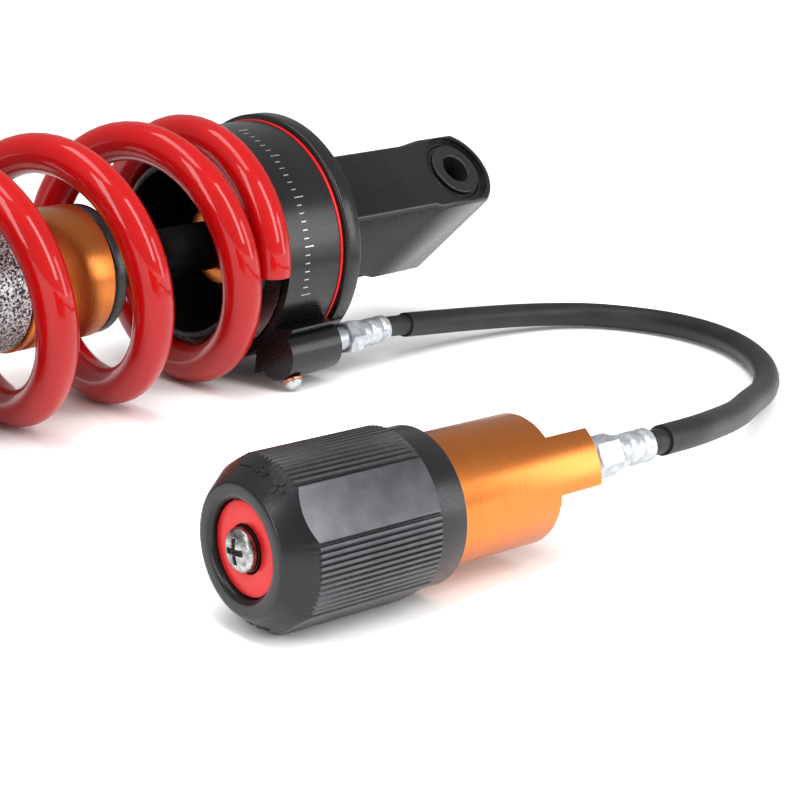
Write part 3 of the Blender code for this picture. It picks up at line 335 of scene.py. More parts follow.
orangeTints = ((0.62, 0.190, 0.042), (0.63, 0.196, 0.044))
finishes = {
    "black_anodised": makeFinish("blackAnodised", (0.006, 0.006, 0.007), (0.011, 0.011, 0.012),
                                 rough=(0.22, 0.32), metallic=0.25, bump=0.02, fine=2500),
    "satin_black": makeFinish("satinBlack", (0.020, 0.020, 0.022), (0.035, 0.035, 0.038),
                              rough=(0.20, 0.30), metallic=0.6, bump=0.08, fine=2500),
    # painted shade: a flat near-black put where only shade shows, on the damper rod inside the spring, the
    # knob's marks and the bottom of the screw's cross
    "painted_shade_black": makeFinish("paintedShadeBlack", (0.004, 0.004, 0.004), (0.006, 0.006, 0.006),
                             rough=(0.30, 0.45), bump=0.05, fine=2500),
    "dull_zinc": makeFinish("dullZinc", (0.16, 0.16, 0.16), (0.50, 0.50, 0.49),
                            rough=(0.22, 0.40), metallic=1.0, bump=0.25, fine=1500, patch=700),
    "knob_anodised": makeFinish("knobAnodised", (0.014, 0.014, 0.016), (0.022, 0.022, 0.024),
                                rough=(0.24, 0.36), metallic=0.55, bump=0.08, fine=2500),
    # painted highlight: a lighter copy of the knob's anodising, put on the flats and the flute crests where
    # light catches
    "knob_painted_highlight": makeFinish("knobPaintedHighlight", (0.070, 0.071, 0.076), (0.092, 0.094, 0.100),
                             rough=(0.36, 0.42), metallic=0.75, bump=0.08, fine=1600, patch=240),
    "orange_anodised": makeFinish("orangeAnodised", *orangeTints, rough=(0.27, 0.29), metallic=0.95,
                                  bump=0.002, lines=True),
    "pump_orange": makeFinish("pumpOrange", *orangeTints, rough=(0.27, 0.29), metallic=0.95,
                              bump=0.002, lines=True, yaw=pumpStand["yaw"]),
    "red_anodised": makeFinish("redAnodised", (0.50, 0.006, 0.007), (0.60, 0.010, 0.012),
                               rough=(0.30, 0.40), metallic=0.35, bump=0.05, fine=2500),
    "red_powder_coat": makeFinish("redPowderCoat", (0.33, 0.0002, 0.0008), (0.37, 0.0003, 0.0012),
                                  rough=(0.42, 0.50), bump=0.04, fine=700, patch=60, coat=0.6,
                                  specular=0.1),
    "zinc": makeFinish("brightZinc", (0.34, 0.36, 0.39), (0.58, 0.60, 0.63),
                       rough=(0.30, 0.44), metallic=0.75, bump=0.12, fine=1600, patch=420),
    "steel": makeFinish("groundSteel", (0.42, 0.43, 0.45), (0.60, 0.61, 0.63),
                        rough=(0.16, 0.30), metallic=1.0, bump=0.10, lines=True),
    "bronze": makeFinish("bearingBronze", (0.42, 0.27, 0.11), (0.60, 0.40, 0.18),
                         rough=(0.28, 0.42), metallic=1.0, bump=0.15),
    "copper": makeFinish("softCopper", (0.55, 0.22, 0.12), (0.75, 0.36, 0.24),
                         rough=(0.25, 0.40), metallic=1.0, bump=0.15),
    "rubber": makeFinish("satinRubber", (0.008, 0.008, 0.008), (0.013, 0.013, 0.013),
                         rough=(0.42, 0.54), bump=0.12, fine=1800, patch=90, specular=0.3),
    "foil_label": makeFinish("speckledFoil", (0.012, 0.012, 0.014), (0.60, 0.61, 0.63),
                             rough=(0.18, 0.40), metallic=0.7, bump=0.30, fine=2400, patch=1500,
                             blend=0.07),
    # black foam, darkened further below real rubber as painted shade inside the cup
    "bump_foam": makeFinish("blackFoamAndPaintedShade", (0.002, 0.002, 0.002), (0.004, 0.004, 0.004),
                            rough=(0.80, 0.95), bump=0.15, fine=2600, patch=300, specular=0.1),
}
for node in frame["record"]["subparts"]:
    cadObject = nodes[node["node"]]
    cadObject.data.materials.clear()
    cadObject.data.materials.append(finishes[node["material_slot"]])
print("finishes made")


# hose: one length between the two fittings, with a thicker cover over most of it
hose = {"radius": 0.00305, "cover": 0.0037, "bareStart": 0.0195, "bareStop": 0.0152, "step": 0.0015,
        "straight": 0.0040, "curveSteps": 24}
portRadius, portAngle = 0.0389, 87.0
portAcross, portUp = polar(portRadius, portAngle)
hoseRoute = [
    (0.0430, -0.0277, 0.0082), (0.0599, -0.0298, 0.0068), (0.0755, -0.0327, 0.0055),
    (0.0880, -0.0376, 0.0046), (0.0973, -0.0450, 0.0042), (0.1030, -0.0550, 0.0040),
    (0.1060, -0.0668, 0.0040), (0.1058, -0.0795, 0.0040), (0.1018, -0.0933, 0.0040),
    (0.0942, -0.1060, 0.0040), (0.0840, -0.1175, 0.0041), (0.0700, -0.1283, 0.0046),
    (0.0530, -0.1378, 0.0061), (0.0335, -0.1462, 0.0087), (0.0110, -0.1560, 0.0120),
    (-0.0100, -0.1630, 0.0153), (-0.0245, -0.1668, 0.0174),
]
collarFerrule = (0.0063, 0.0173)  # hose end and ferrule mouth, from the rear rim towards the eye
pumpFerrule = (0.0590, 0.0700)  # the same, from the knob's rear face towards the hose


def smoothRoute(points, step):
    ends = [points[0] * 2 - points[1], *points, points[-1] * 2 - points[-2]]
    fine = []
    for before, start, stop, after in zip(ends, ends[1:], ends[2:], ends[3:]):
        for part in range(hose["curveSteps"]):
            share = part / hose["curveSteps"]
            linear = (stop - before) * share
            square = (before * 2 - start * 5 + stop * 4 - after) * share ** 2
            cube = (start * 3 - before - stop * 3 + after) * share ** 3
            fine.append((start * 2 + linear + square + cube) / 2)
    fine.append(points[-1])
    run = [0.0]
    for first, second in zip(fine, fine[1:]):
        run.append(run[-1] + (second - first).length)
    count = round(run[-1] / step)
    route, index = [], 0
    for number in range(count + 1):
        target = run[-1] * number / count
        while index < len(fine) - 2 and run[index + 1] < target:
            index += 1
        share = (target - run[index]) / (run[index + 1] - run[index])
        route.append(fine[index].lerp(fine[index + 1], min(share, 1)))
    return route


def wireAlong(name, points, radius, roundness=7):
    curve = bpy.data.curves.new(name, "CURVE")
    curve.dimensions = "3D"
    curve.bevel_depth = radius
    curve.bevel_resolution = roundness
    curve.use_fill_caps = True
    spline = curve.splines.new("POLY")
    spline.points.add(len(points) - 1)
    for point, spot in zip(spline.points, points):
        point.co = (*spot, 1)
    spline.use_smooth = True
    piece = bpy.data.objects.new(name, curve)
    bpy.context.scene.collection.objects.link(piece)
    return piece


def buildHose():
    start, mouth = collarFerrule
    heights = (start, mouth, mouth + hose["straight"])
    stops = [shockFrame @ Vector((portAcross, portUp, height)) for height in heights]
    stops += [Vector(spot) + tableOffset for spot in hoseRoute]
    start, mouth = pumpFerrule
    heights = (mouth + hose["straight"], mouth, start)
    stops += [pumpFrame @ Vector((0, 0, height)) for height in heights]
    route = smoothRoute(stops, hose["step"])
    length = sum((b - a).length for a, b in zip(route, route[1:]))
    core = wireAlong("hoseCore", route, hose["radius"])
    place(core, rootBody, "rubber", "hose_core")
    covered, run = [], 0.0
    for before, spot in zip([route[0], *route], route):
        run += (spot - before).length
        if hose["bareStart"] < run < length - hose["bareStop"]:
            covered.append(spot)
    cover = wireAlong("hoseCover", covered, hose["cover"])
    place(cover, rootBody, "rubber", "hose_sleeve")
    print("hose laid", round(length, 4))


buildHose()


# upper end of the shock
eyeBlock = {"centre": 0.0637, "end": 0.0141, "halfWidth": 0.0205, "halfHeight": 0.0125, "neck": 0.0114,
            "neckEnd": 0.0465, "headStart": 0.0490, "bore": 0.0098, "recess": 0.0118, "recessDepth": 0.0012,
            "socket": 0.0260, "underStart": 0.0550, "stepIn": 0.0009, "stepDepth": 0.00324, "corner": 0.0014,
            "arcSteps": 28}
rodHole = 0.0074
acrossShock = Matrix.Rotation(math.pi / 2, 4, "Y")  # lays a turned piece along the eye's bore


def buildEyeBlock():
    d = eyeBlock
    start = math.degrees(math.asin(d["halfHeight"] / d["end"]))
    arc = [polar(d["end"], start - start * 2 * step / d["arcSteps"]) for step in range(d["arcSteps"] + 1)]
    outline = [(d["neck"], fit), (d["neck"], d["neckEnd"]), (d["halfHeight"], d["headStart"])]
    outline += [(up, d["centre"] + ahead) for ahead, up in arc]
    outline += [(-d["halfHeight"], d["underStart"]), (-d["neck"], d["neckEnd"]), (-d["neck"], fit)]
    stand = Matrix(((0, 0, 1, 0), (1, 0, 0, 0), (0, 1, 0, 0), (0, 0, 0, 1)))
    piece = plateFrom("eyeBlock", outline, d["halfWidth"] * 2, stand)
    softEdges(piece, d["corner"], segments=4, angle=50)
    bore = along(z=d["centre"]) @ acrossShock
    shape(piece, rod("boreTool", d["bore"], throughLength, bore, sides=96))
    for side in (-1, 1):
        mouth = along(x=side * d["halfWidth"], z=d["centre"]) @ acrossShock
        shape(piece, rod("recessTool", d["recess"], d["recessDepth"] * 2, mouth, sides=96))
        shape(piece, rod("stepTool", d["recess"] - d["stepIn"], d["stepDepth"], mouth, sides=96))
    shape(piece, rod("socketTool", rodHole, d["socket"] * 2, along(), sides=64))
    settle(piece, shockFrame)
    place(piece, rootBody, "black_anodised", "eye_block")


bush = {"outer": 0.0095, "wall": 0.0028, "reach": 0.0189, "start": 0.0002}
eyeSleeve = {"face": 0.0088, "inner": 0.0063, "hole": 0.0047, "lipStart": 0.0194, "lipSlope": 0.0001}


def buildUpperBushes():
    centre = shockFrame @ along(z=eyeBlock["centre"])
    for number, turn in ((1, -90), (2, 90)):
        profile = ringProfile(bush["outer"], bush["outer"] - bush["wall"], bush["reach"], bush["start"])
        spot = centre @ along(turn=turn, axis="Y")
        piece = turnPiece(f"upperBush{number}", profile, spot, steps=72, edge=0.0003)
        place(piece, rootBody, "black_anodised", f"upper_bush_{number}", finish="satin_black")
    d = eyeSleeve
    half = eyeBlock["halfWidth"]
    lip = d["lipStart"]
    waist = lip - d["lipSlope"]
    profile = [(d["face"], half), (d["face"], lip), (d["inner"], waist), (d["inner"], -waist),
               (d["face"], -lip), (d["face"], -half), (d["hole"], -half), (d["hole"], half)]
    piece = turnPiece("upperSleeve", profile, centre @ acrossShock, steps=72, edge=0.0010, segments=4)
    place(piece, "upper_sleeve", "black_anodised", "upper_eye_sleeve", finish="satin_black")


flange = {"radius": 0.0355, "thick": 0.0057, "edge": 0.0008}
redRing = {"outer": 0.0341, "inner": 0.0275, "rear": -0.0060, "front": -0.0070}


def buildFlange():
    profile = ringProfile(flange["radius"], rodHole, 0, -flange["thick"])
    piece = turnPiece("topFlange", profile, shockFrame, steps=144, edge=flange["edge"], segments=3)
    place(piece, rootBody, "black_anodised", "top_flange")
    profile = ringProfile(redRing["outer"], redRing["inner"], redRing["rear"], redRing["front"])
    piece = turnPiece("redRing", profile, shockFrame, steps=144, edge=0.0003)
    place(piece, rootBody, "red_anodised", "red_ring")


collar = {"radius": 0.0338, "bore": 0.0257, "chamber": 0.0316, "rear": -0.0073, "front": -0.0270,
          "plate": 0.0047, "lobe": 0.0074, "fillet": 0.0030, "edge": 0.0007, "sink": 0.0002,
          "overlap": 0.0020, "lobeSteps": 24, "filletSteps": 12}
port = {"radius": 0.0025, "length": 0.0100, "sink": 0.0025}


def lobeOutline():
    d = collar
    footing = d["radius"] - d["sink"] + d["fillet"]
    reach = d["lobe"] + d["fillet"]
    spread = math.acos((footing ** 2 + portRadius ** 2 - reach ** 2) / (2 * footing * portRadius))
    inward = math.acos((portRadius ** 2 + reach ** 2 - footing ** 2) / (2 * portRadius * reach))
    half = 180 - math.degrees(inward)
    blend = 180 - math.degrees(spread + inward)
    outline = []
    for step in range(2 * d["lobeSteps"] + 1):
        across, up = polar(d["lobe"], half * (step / d["lobeSteps"] - 1))
        outline.append((portRadius + across, up))
    hollow = []
    for step in range(1, d["filletSteps"] + 1):
        across, up = polar(d["fillet"], half - 180 + blend * step / d["filletSteps"])
        hollow.append((footing * math.cos(spread) + across, footing * math.sin(spread) + up))
    mirrored = [(across, -up) for across, up in reversed(hollow)]
    return outline + hollow + [(d["chamber"] - d["overlap"], 0)] + mirrored


def buildCollar():
    d = collar
    wall = ringProfile(d["radius"], d["bore"], d["rear"], d["front"])
    piece = turnPiece("preloadCollar", wall, steps=160)
    middle = (d["rear"] + d["front"]) / 2
    lobe = plateFrom("lobeTool", lobeOutline(), d["rear"] - d["front"], along(z=middle, turn=portAngle))
    shape(piece, lobe, "UNION")
    softEdges(piece, d["edge"], segments=3, angle=40)
    chamber = ringProfile(d["chamber"], d["bore"] - d["overlap"], d["rear"] - d["plate"],
                          d["front"] - d["overlap"])
    shape(piece, turnPiece("chamberTool", chamber, steps=160))
    spot = along(portAcross, portUp, d["rear"] - port["sink"])
    shape(piece, rod("portTool", port["radius"], port["length"], spot, sides=32))
    settle(piece, shockFrame)
    place(piece, rootBody, "black_anodised", "preload_collar")


collarMarks = {"count": 25, "spread": 4.0, "middle": 12.0, "short": 0.0018, "long": 0.0034, "longEvery": 6,
               "wide": 0.00030, "raise": 0.00006, "start": 0.0060}


def buildCollarMarks():
    d = collarMarks
    marks = []
    for step in range(d["count"]):
        turn = d["middle"] + d["spread"] * (step - d["count"] // 2)
        tall = d["long"] if step % d["longEvery"] == 0 else d["short"]
        spot = along(turn=turn) @ along(x=collar["radius"], z=collar["front"] + d["start"] + tall / 2)
        marks.append(brick("mark", (d["raise"], d["wide"], tall), spot))
    piece = joinAs("collarMarks", marks)
    settle(piece, shockFrame)
    place(piece, rootBody, "zinc")


cup = {"radius": 0.0254, "wall": 0.0019, "rear": -0.0060, "front": -0.0376, "floor": 0.0025}


def buildCup():
    d = cup
    inner = d["radius"] - d["wall"]
    floor = d["rear"] - d["floor"]
    profile = [(d["radius"], d["rear"]), (d["radius"], d["front"]), (inner, d["front"]), (inner, floor),
               (rodHole, floor), (rodHole, d["rear"])]
    piece = turnPiece("guideCup", profile, shockFrame, steps=128, edge=0.0005, segments=3)
    place(piece, rootBody, "black_anodised", "guide_cup")


bleed = {"height": -0.0235, "angle": 154.9, "copper": 0.0031, "copperHole": 0.0016, "copperThick": 0.0008,
         "dome": 0.0026, "gap": 0.0001, "key": 0.0012, "keyDepth": 0.0026}


def buildCollarBleed():
    d = bleed
    spot = shockFrame @ along(portAcross, portUp, d["height"], turn=d["angle"] - eyeRoll) @ acrossShock
    base = collar["lobe"] + d["gap"]
    washer = ringProfile(d["copper"], d["copperHole"], base + d["copperThick"], base)
    piece = turnPiece("collarBleedWasher", washer, spot, steps=48, edge=0.0002)
    place(piece, rootBody, "copper", "collar_bleed_washer")
    base += d["copperThick"] + d["gap"]
    dome = [(0, base + d["dome"])]
    for step in range(1, 9):
        across, height = polar(d["dome"], 90 - 10 * step)
        dome.append((across, base + height))
    dome += [(d["dome"], base), (0, base)]
    piece = turnPiece("collarBleedScrew", dome, steps=48)
    shape(piece, rod("keyTool", d["key"], d["keyDepth"], along(z=base + d["dome"]), sides=6))
    softEdges(piece, 0.00015, segments=2, angle=40)
    settle(piece, spot)
    place(piece, rootBody, "zinc", "collar_bleed_screw")


buildEyeBlock()
buildUpperBushes()
buildFlange()
buildCollar()
buildCollarMarks()
buildCup()
buildCollarBleed()
print("upper end done")


# rod, damper and lower end
damper = {"rod": 0.0070, "rodTop": 0.0245, "rodTip": -0.1343, "ringFront": -0.0715, "ringLength": 0.0040,
          "ring": 0.0177, "wiper": 0.0110, "head": 0.0181, "headFront": -0.0758, "headRear": -0.1023,
          "tube": 0.0175, "tubeBore": 0.0155, "tubeRear": -0.2145, "play": 0.0004, "lip": 0.0010,
          "lipSlope": 0.0006, "spigot": 0.0060, "groove": -0.0993, "grooveDepth": 0.0007,
          "grooveHalf": 0.0008, "grooveFloor": 0.0005}
bumpStop = {"washer": 0.0120, "washerRear": -0.0210, "washerFront": -0.0232, "radius": 0.0112,
            "rear": -0.0088, "front": -0.0207, "taper": 0.0030, "wave": 0.0008, "waves": 3, "steps": 30}
seat = {"radius": 0.0378, "skirt": 0.0260, "front": -0.1899, "rear": -0.1959, "skirtFront": -0.1809,
        "nut": 0.0270, "nutTop": -0.1962, "nutLength": 0.0080, "slots": 6, "slot": (0.0036, 0.0044, 0.0100)}
foot = {"radius": 0.0220, "top": -0.2045, "bottom": -0.2305, "eye": -0.2475, "eyeRadius": 0.0155,
        "half": 0.0140, "bore": 0.0105, "neck": 0.0110, "neckHalf": 0.0130, "neckSink": 0.0030,
        "sleeveHalf": 0.0165, "topEdge": 0.0006, "bottomEdge": 0.0040}


def buildRod():
    d = damper
    profile = [(0, d["rodTop"]), (d["rod"], d["rodTop"]), (d["rod"], d["rodTip"]), (0, d["rodTip"])]
    piece = turnPiece("damperRod", profile, shockFrame, steps=64, edge=0.0006, segments=3)
    # the rod is drawn deep black as painted shade, where the spring and cup leave only shade
    place(piece, rootBody, "black_anodised", "damper_rod", finish="painted_shade_black")


def buildBumpStop():
    d = bumpStop
    bore = damper["rod"] + fit
    profile = []
    for step in range(d["steps"] + 1):
        share = step / d["steps"]
        dip = d["wave"] * (1 - math.cos(share * d["waves"] * 2 * math.pi))
        height = d["rear"] + (d["front"] - d["rear"]) * share
        profile.append((d["radius"] - d["taper"] * share ** 2 - dip, height))
    profile += [(bore, d["front"]), (bore, d["rear"])]
    piece = turnPiece("bumpStop", profile, shockFrame, steps=72, edge=0.0004)
    # the stop's near-black is partly the foam's own black, partly painted shade inside the cup
    place(piece, rootBody, "bump_foam", "bump_stop")
    washer = ringProfile(d["washer"], bore, d["washerRear"], d["washerFront"])
    piece = turnPiece("bumpWasher", washer, shockFrame, steps=96, edge=0.0004, segments=3)
    place(piece, rootBody, "orange_anodised", "bump_washer")


def buildDamper():
    d = damper
    rear = d["ringFront"] - d["ringLength"]
    ring = ringProfile(d["ring"], d["wiper"] + fit, d["ringFront"], rear)
    piece = turnPiece("headRing", ring, shockFrame, steps=96, edge=0.0006, segments=3)
    place(piece, "shock_lower", "black_anodised", "head_ring")
    bore = d["rod"] + d["play"]
    lip = [(d["wiper"], d["ringFront"]), (d["wiper"], rear), (bore, rear), (bore, d["ringFront"]),
           (bore + d["lip"], d["ringFront"] - d["lipSlope"])]
    piece = turnPiece("rodWiper", lip, shockFrame, steps=72, edge=0.0002)
    place(piece, "shock_lower", "rubber", "rod_wiper")
    spigot = d["tubeBore"] - fit
    spigotEnd = d["headRear"] - d["spigot"]
    low = d["head"] - d["grooveDepth"]
    groove = [(d["head"], d["groove"] + d["grooveHalf"]), (low, d["groove"] + d["grooveFloor"]),
              (low, d["groove"] - d["grooveFloor"]), (d["head"], d["groove"] - d["grooveHalf"])]
    profile = [(d["head"], d["headFront"]), *groove, (d["head"], d["headRear"]), (spigot, d["headRear"]),
               (spigot, spigotEnd), (bore, spigotEnd), (bore, d["headFront"])]
    piece = turnPiece("damperHead", profile, shockFrame, steps=96, edge=0.0005, segments=3)
    place(piece, "shock_lower", "orange_anodised", "damper_head")
    tube = ringProfile(d["tube"], d["tubeBore"], d["headRear"] - fit, d["tubeRear"])
    piece = turnPiece("damperTube", tube, shockFrame, steps=96, edge=0.0004)
    place(piece, "shock_lower", "foil_label", "damper_tube")


def buildSeat():
    d = seat
    bore = damper["tube"] + fit
    profile = [(d["skirt"], d["skirtFront"]), (d["skirt"], d["front"]), (d["radius"], d["front"]),
               (d["radius"], d["rear"]), (bore, d["rear"]), (bore, d["skirtFront"])]
    piece = turnPiece("lowerSeat", profile, shockFrame, steps=144, edge=0.0008, segments=3)
    place(piece, "shock_lower", "black_anodised", "lower_spring_seat")
    low = d["nutTop"] - d["nutLength"]
    piece = turnPiece("seatNut", ringProfile(d["nut"], bore, d["nutTop"], low), steps=120)
    for step in range(d["slots"]):
        spot = along(turn=360 * step / d["slots"]) @ along(x=d["nut"], z=(d["nutTop"] + low) / 2)
        shape(piece, brick("slotTool", d["slot"], spot))
    softEdges(piece, 0.0005, segments=3, angle=40)
    settle(piece, shockFrame)
    place(piece, "shock_lower", "black_anodised", "seat_nut")


def buildLowerEye():
    d = foot
    well = damper["tube"] + fit
    floor = damper["tubeRear"] - fit
    profile = [(0, floor), (well, floor), (well, d["top"]), (d["radius"] - d["topEdge"], d["top"]),
               (d["radius"], d["top"] - d["topEdge"]), (d["radius"], d["bottom"] + d["bottomEdge"]),
               (d["radius"] - d["bottomEdge"], d["bottom"]), (0, d["bottom"])]
    piece = turnPiece("lowerEye", profile, steps=120)
    high = d["bottom"] + d["neckSink"]
    neck = (d["neckHalf"] * 2, d["neck"] * 2, high - d["eye"])
    shape(piece, brick("neckTool", neck, along(z=(high + d["eye"]) / 2)), "UNION")
    across = along(z=d["eye"]) @ acrossShock
    shape(piece, rod("barrelTool", d["eyeRadius"], d["half"] * 2, across, sides=96), "UNION")
    shape(piece, rod("boreTool", d["bore"], d["half"] * 3, across, sides=96))
    softEdges(piece, 0.0008, segments=3, angle=40)
    settle(piece, shockFrame)
    place(piece, "shock_lower", "black_anodised", "lower_eye")
    outer = d["bore"] - fit
    inner = outer - bush["wall"]
    half = d["half"] - fit
    spot = shockFrame @ across
    rubber = ringProfile(outer, inner, half, -half)
    piece = turnPiece("lowerBush", rubber, spot, steps=72, edge=0.0004, segments=3)
    place(piece, "shock_lower", "rubber", "lower_bush")
    sleeve = ringProfile(inner - damper["play"], eyeSleeve["hole"], d["sleeveHalf"], -d["sleeveHalf"])
    piece = turnPiece("lowerSleeve", sleeve, spot, steps=72, edge=0.0004, segments=3)
    place(piece, "lower_sleeve", "steel", "lower_eye_sleeve")


spring = {"radius": 0.038, "wire": 0.0108, "pitch": 0.0315, "turns": 6.1, "endAngle": 95.0, "closed": 0.40,
          "rampTurns": 0.50, "top": -0.0330, "perTurn": 56, "stroke": 0.0480}


def springAdvance(turn):
    d = spring

    def climb(value):
        value = min(max(value, 0), d["rampTurns"])
        return value * value / (2 * d["rampTurns"])

    opened = turn - d["closed"]
    closing = min(max(turn - (d["turns"] - d["closed"] - d["rampTurns"]), 0), d["rampTurns"])
    full = min(max(opened - d["rampTurns"], 0), d["turns"] - 2 * d["closed"] - 2 * d["rampTurns"])
    return climb(opened) + full + closing - closing * closing / (2 * d["rampTurns"])


def buildSpring():
    d = spring
    coil = d["radius"] - d["wire"] / 2
    count = round(d["turns"] * d["perTurn"]) + 1
    points = []
    for step in range(count):
        turn = d["turns"] * step / (count - 1)
        angle = d["endAngle"] - eyeRoll - 360 * turn
        spot = Vector((*polar(coil, angle), d["top"] - d["pitch"] * springAdvance(turn)))
        points.append(shockFrame @ spot)
    selectOnly(wireAlong("spring", points, d["wire"] / 2, roundness=10))
    bpy.ops.object.convert(target="MESH")
    piece = keepAs("spring")
    cleanMesh()
    softEdges(piece, 0.0007, segments=3, angle=60)
    bpy.ops.object.shade_smooth_by_angle(angle=math.radians(50))
    length = d["pitch"] * springAdvance(d["turns"]) + d["wire"]
    place(piece, rootBody, "red_powder_coat", "spring")
    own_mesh(piece)


buildRod()
buildBumpStop()
buildDamper()
buildSeat()
buildLowerEye()
buildSpring()
print("damper, spring and lower end done")


# pump, along its own axis from the knob's rear face
knob = {"radius": 0.0184, "skirt": 0.0171, "skirtLength": 0.0065, "shoulder": 0.0381, "length": 0.04435,
        "nose": 0.0140, "mouth": 0.01015, "mouthDepth": 0.0029, "web": 0.0105, "cavity": 0.0150,
        "flats": 4, "flatHalf": 18.4, "flatStart": -8.7, "flutes": 13, "fluteDepth": 0.00048,
        "fluteShares": (0.24, 0.42, 0.58, 0.76), "proud": 0.00002, "skirtSlope": 0.0011,
        "noseStart": (0.0006, 0.0010), "noseInset": 0.0010, "noseRound": (0.0012, 0.0007),
        "mouthRound": 0.0014, "hex": 0.004546}
webFront = -knob["length"] + knob["mouthDepth"]
webRear = webFront + knob["web"]


def buildKnob():
    d = knob
    arc = 360 / d["flats"] - 2 * d["flatHalf"]
    flute = arc / d["flutes"]
    crest = d["radius"] + d["proud"]
    root = d["radius"] - d["fluteDepth"]
    falls, rootStart, rootEnd, rises = d["fluteShares"]
    outline = []
    for flat in range(d["flats"]):
        start = d["flatStart"] + 360 * flat / d["flats"] + d["flatHalf"]
        for step in range(d["flutes"]):
            turn = start + flute * step
            isLast = step == d["flutes"] - 1
            outline.append(polar(crest, turn + (flute * falls if step else 0)))
            outline.append(polar(root, turn + flute * rootStart))
            outline.append(polar(root, turn + flute * rootEnd))
            outline.append(polar(crest, turn + flute * (1.0 if isLast else rises)))
    wide, deep = d["noseRound"]
    lip = d["mouthRound"]
    out, back = d["noseStart"]
    nose = [(d["nose"] + out, back - d["length"])]
    for step in range(1, 7):
        across, ahead = polar(1, 15 * step)
        nose.append((d["nose"] - d["noseInset"] + wide * across, -d["length"] + deep - deep * ahead))
    for step in range(6):
        across, ahead = polar(lip, 90 - 15 * step)
        nose.append((d["mouth"] + lip - across, -d["length"] + lip - ahead))
    profile = [(0, webRear), (d["cavity"], webRear), (d["cavity"], 0), (d["skirt"], 0),
               (d["skirt"], -d["skirtLength"]), (d["radius"], -d["skirtLength"] - d["skirtSlope"]),
               (d["radius"], -d["shoulder"]), *nose, (d["mouth"], -d["length"] + lip),
               (d["mouth"], webFront), (0, webFront)]
    piece = turnPiece("knob", profile, steps=180)
    shape(piece, plateFrom("gripTool", outline, d["length"] * 2, along(z=-d["length"] / 2)), "INTERSECT")
    softEdges(piece, 0.00012, segments=2, angle=28)
    shape(piece, rod("hexTool", d["hex"], d["length"] * 2, along(), sides=6))
    settle(piece, pumpFrame, smoothAngle=24)
    place(piece, "knob", "knob_anodised", "knob")
    # the flats and flute crests take the lighter copy of the knob's finish, a painted highlight
    paintGripHighlight(piece)


grip = {"flatGap": 0.0001, "flatLean": 0.05, "crestLean": 0.90, "crestDepth": 0.00016, "front": 0.0003,
        "rear": 0.0010}  # how near a face lies to a flat, a crest and the grip's two ends


def paintGripHighlight(piece):
    d = knob
    piece.data.materials.append(finishes["knob_painted_highlight"])
    toPump = pumpFrame.inverted()
    turnOnly = toPump.to_3x3()
    flatDepth = d["radius"] * math.cos(math.radians(d["flatHalf"]))
    for face in piece.data.polygons:  # the flats and the crests of the flutes get the lighter copy, a painted highlight
        spot = toPump @ face.center
        facing = turnOnly @ face.normal
        reach = math.hypot(spot.x, spot.y)
        depth = spot.x * facing.x + spot.y * facing.y
        isFlat = abs(depth - flatDepth) < grip["flatGap"] and abs(facing.z) < grip["flatLean"]
        isCrest = depth > grip["crestLean"] * reach and reach > d["radius"] - grip["crestDepth"]
        onGrip = -d["shoulder"] - grip["front"] < spot.z < -d["skirtLength"] - grip["rear"]
        if isFlat or (onGrip and isCrest):
            face.material_index = 1


knobMarks = {"bar": 0.0034, "thin": 0.00080, "raise": 0.00018, "turn": -54.0, "spread": -19.0,
             "share": 0.48, "arrowThin": 0.00056, "arrowTip": 0.00143, "arrowBack": 0.00061,
             "arrowAngle": 40}


def buildKnobMarks():
    d = knobMarks
    out, back = knob["noseStart"]
    rise = knob["length"] - knob["shoulder"] - back
    fall = knob["radius"] - knob["nose"] - out
    lean = math.degrees(math.atan2(fall, rise))
    radius = knob["radius"] - fall * d["share"]
    height = -knob["shoulder"] - rise * d["share"]
    tall = d["raise"] * 2
    for number, side in ((1, 0), (2, 180)):
        onNose = along(x=radius, z=height, turn=lean, axis="Y")
        turns = [d["turn"] + side + d["spread"] * step for step in (-1, 0, 1)]
        plus, arrow, minus = [along(turn=turn) @ onNose for turn in turns]
        bars = [brick("bar", (tall, d["thin"], d["bar"]), plus),
                brick("bar", (tall, d["bar"], d["thin"]), plus),
                brick("bar", (tall, d["bar"], d["thin"]), minus),
                brick("bar", (tall, d["bar"], d["arrowThin"]), arrow)]
        for end in (-1, 1):
            for slant in (-1, 1):
                tip = arrow @ along(y=end * d["bar"] / 2, turn=slant * end * d["arrowAngle"], axis="X")
                size = (tall, d["arrowTip"], d["arrowThin"])
                bars.append(brick("bar", size, tip @ along(y=-end * d["arrowBack"])))
        piece = joinAs(f"knobMarks{number}", bars)
        settle(piece, pumpFrame)
        # the marks are painted shade: deep black stands in for the shade inside the engraved strokes
        place(piece, "knob", "black_anodised", finish="painted_shade_black")


disc = {"radius": 0.0098, "hole": 0.0051, "thick": 0.0010, "washer": 0.0047, "washerHole": 0.0026,
        "washerThick": 0.0013}
knobScrew = {"head": 0.0046, "height": 0.0024, "rim": 0.30, "shank": 0.0023, "length": 0.0110,
             "slot": (0.0054, 0.0013, 0.0030), "cross": 0.0030, "crossTop": 0.0008, "crossFloor": 0.0005}


def buildKnobCentre():
    front = webFront - fit
    plate = ringProfile(disc["radius"], disc["hole"], front, front - disc["thick"])
    piece = turnPiece("knobDisc", plate, pumpFrame, steps=96, edge=0.0002)
    place(piece, "knob", "red_anodised", "knob_disc")
    washer = ringProfile(disc["washer"], disc["washerHole"], front, front - disc["washerThick"])
    piece = turnPiece("knobWasher", washer, pumpFrame, steps=72, edge=0.00015)
    place(piece, "knob", "black_anodised", "knob_washer")
    buildKnobScrew(front - disc["washerThick"] - fit)


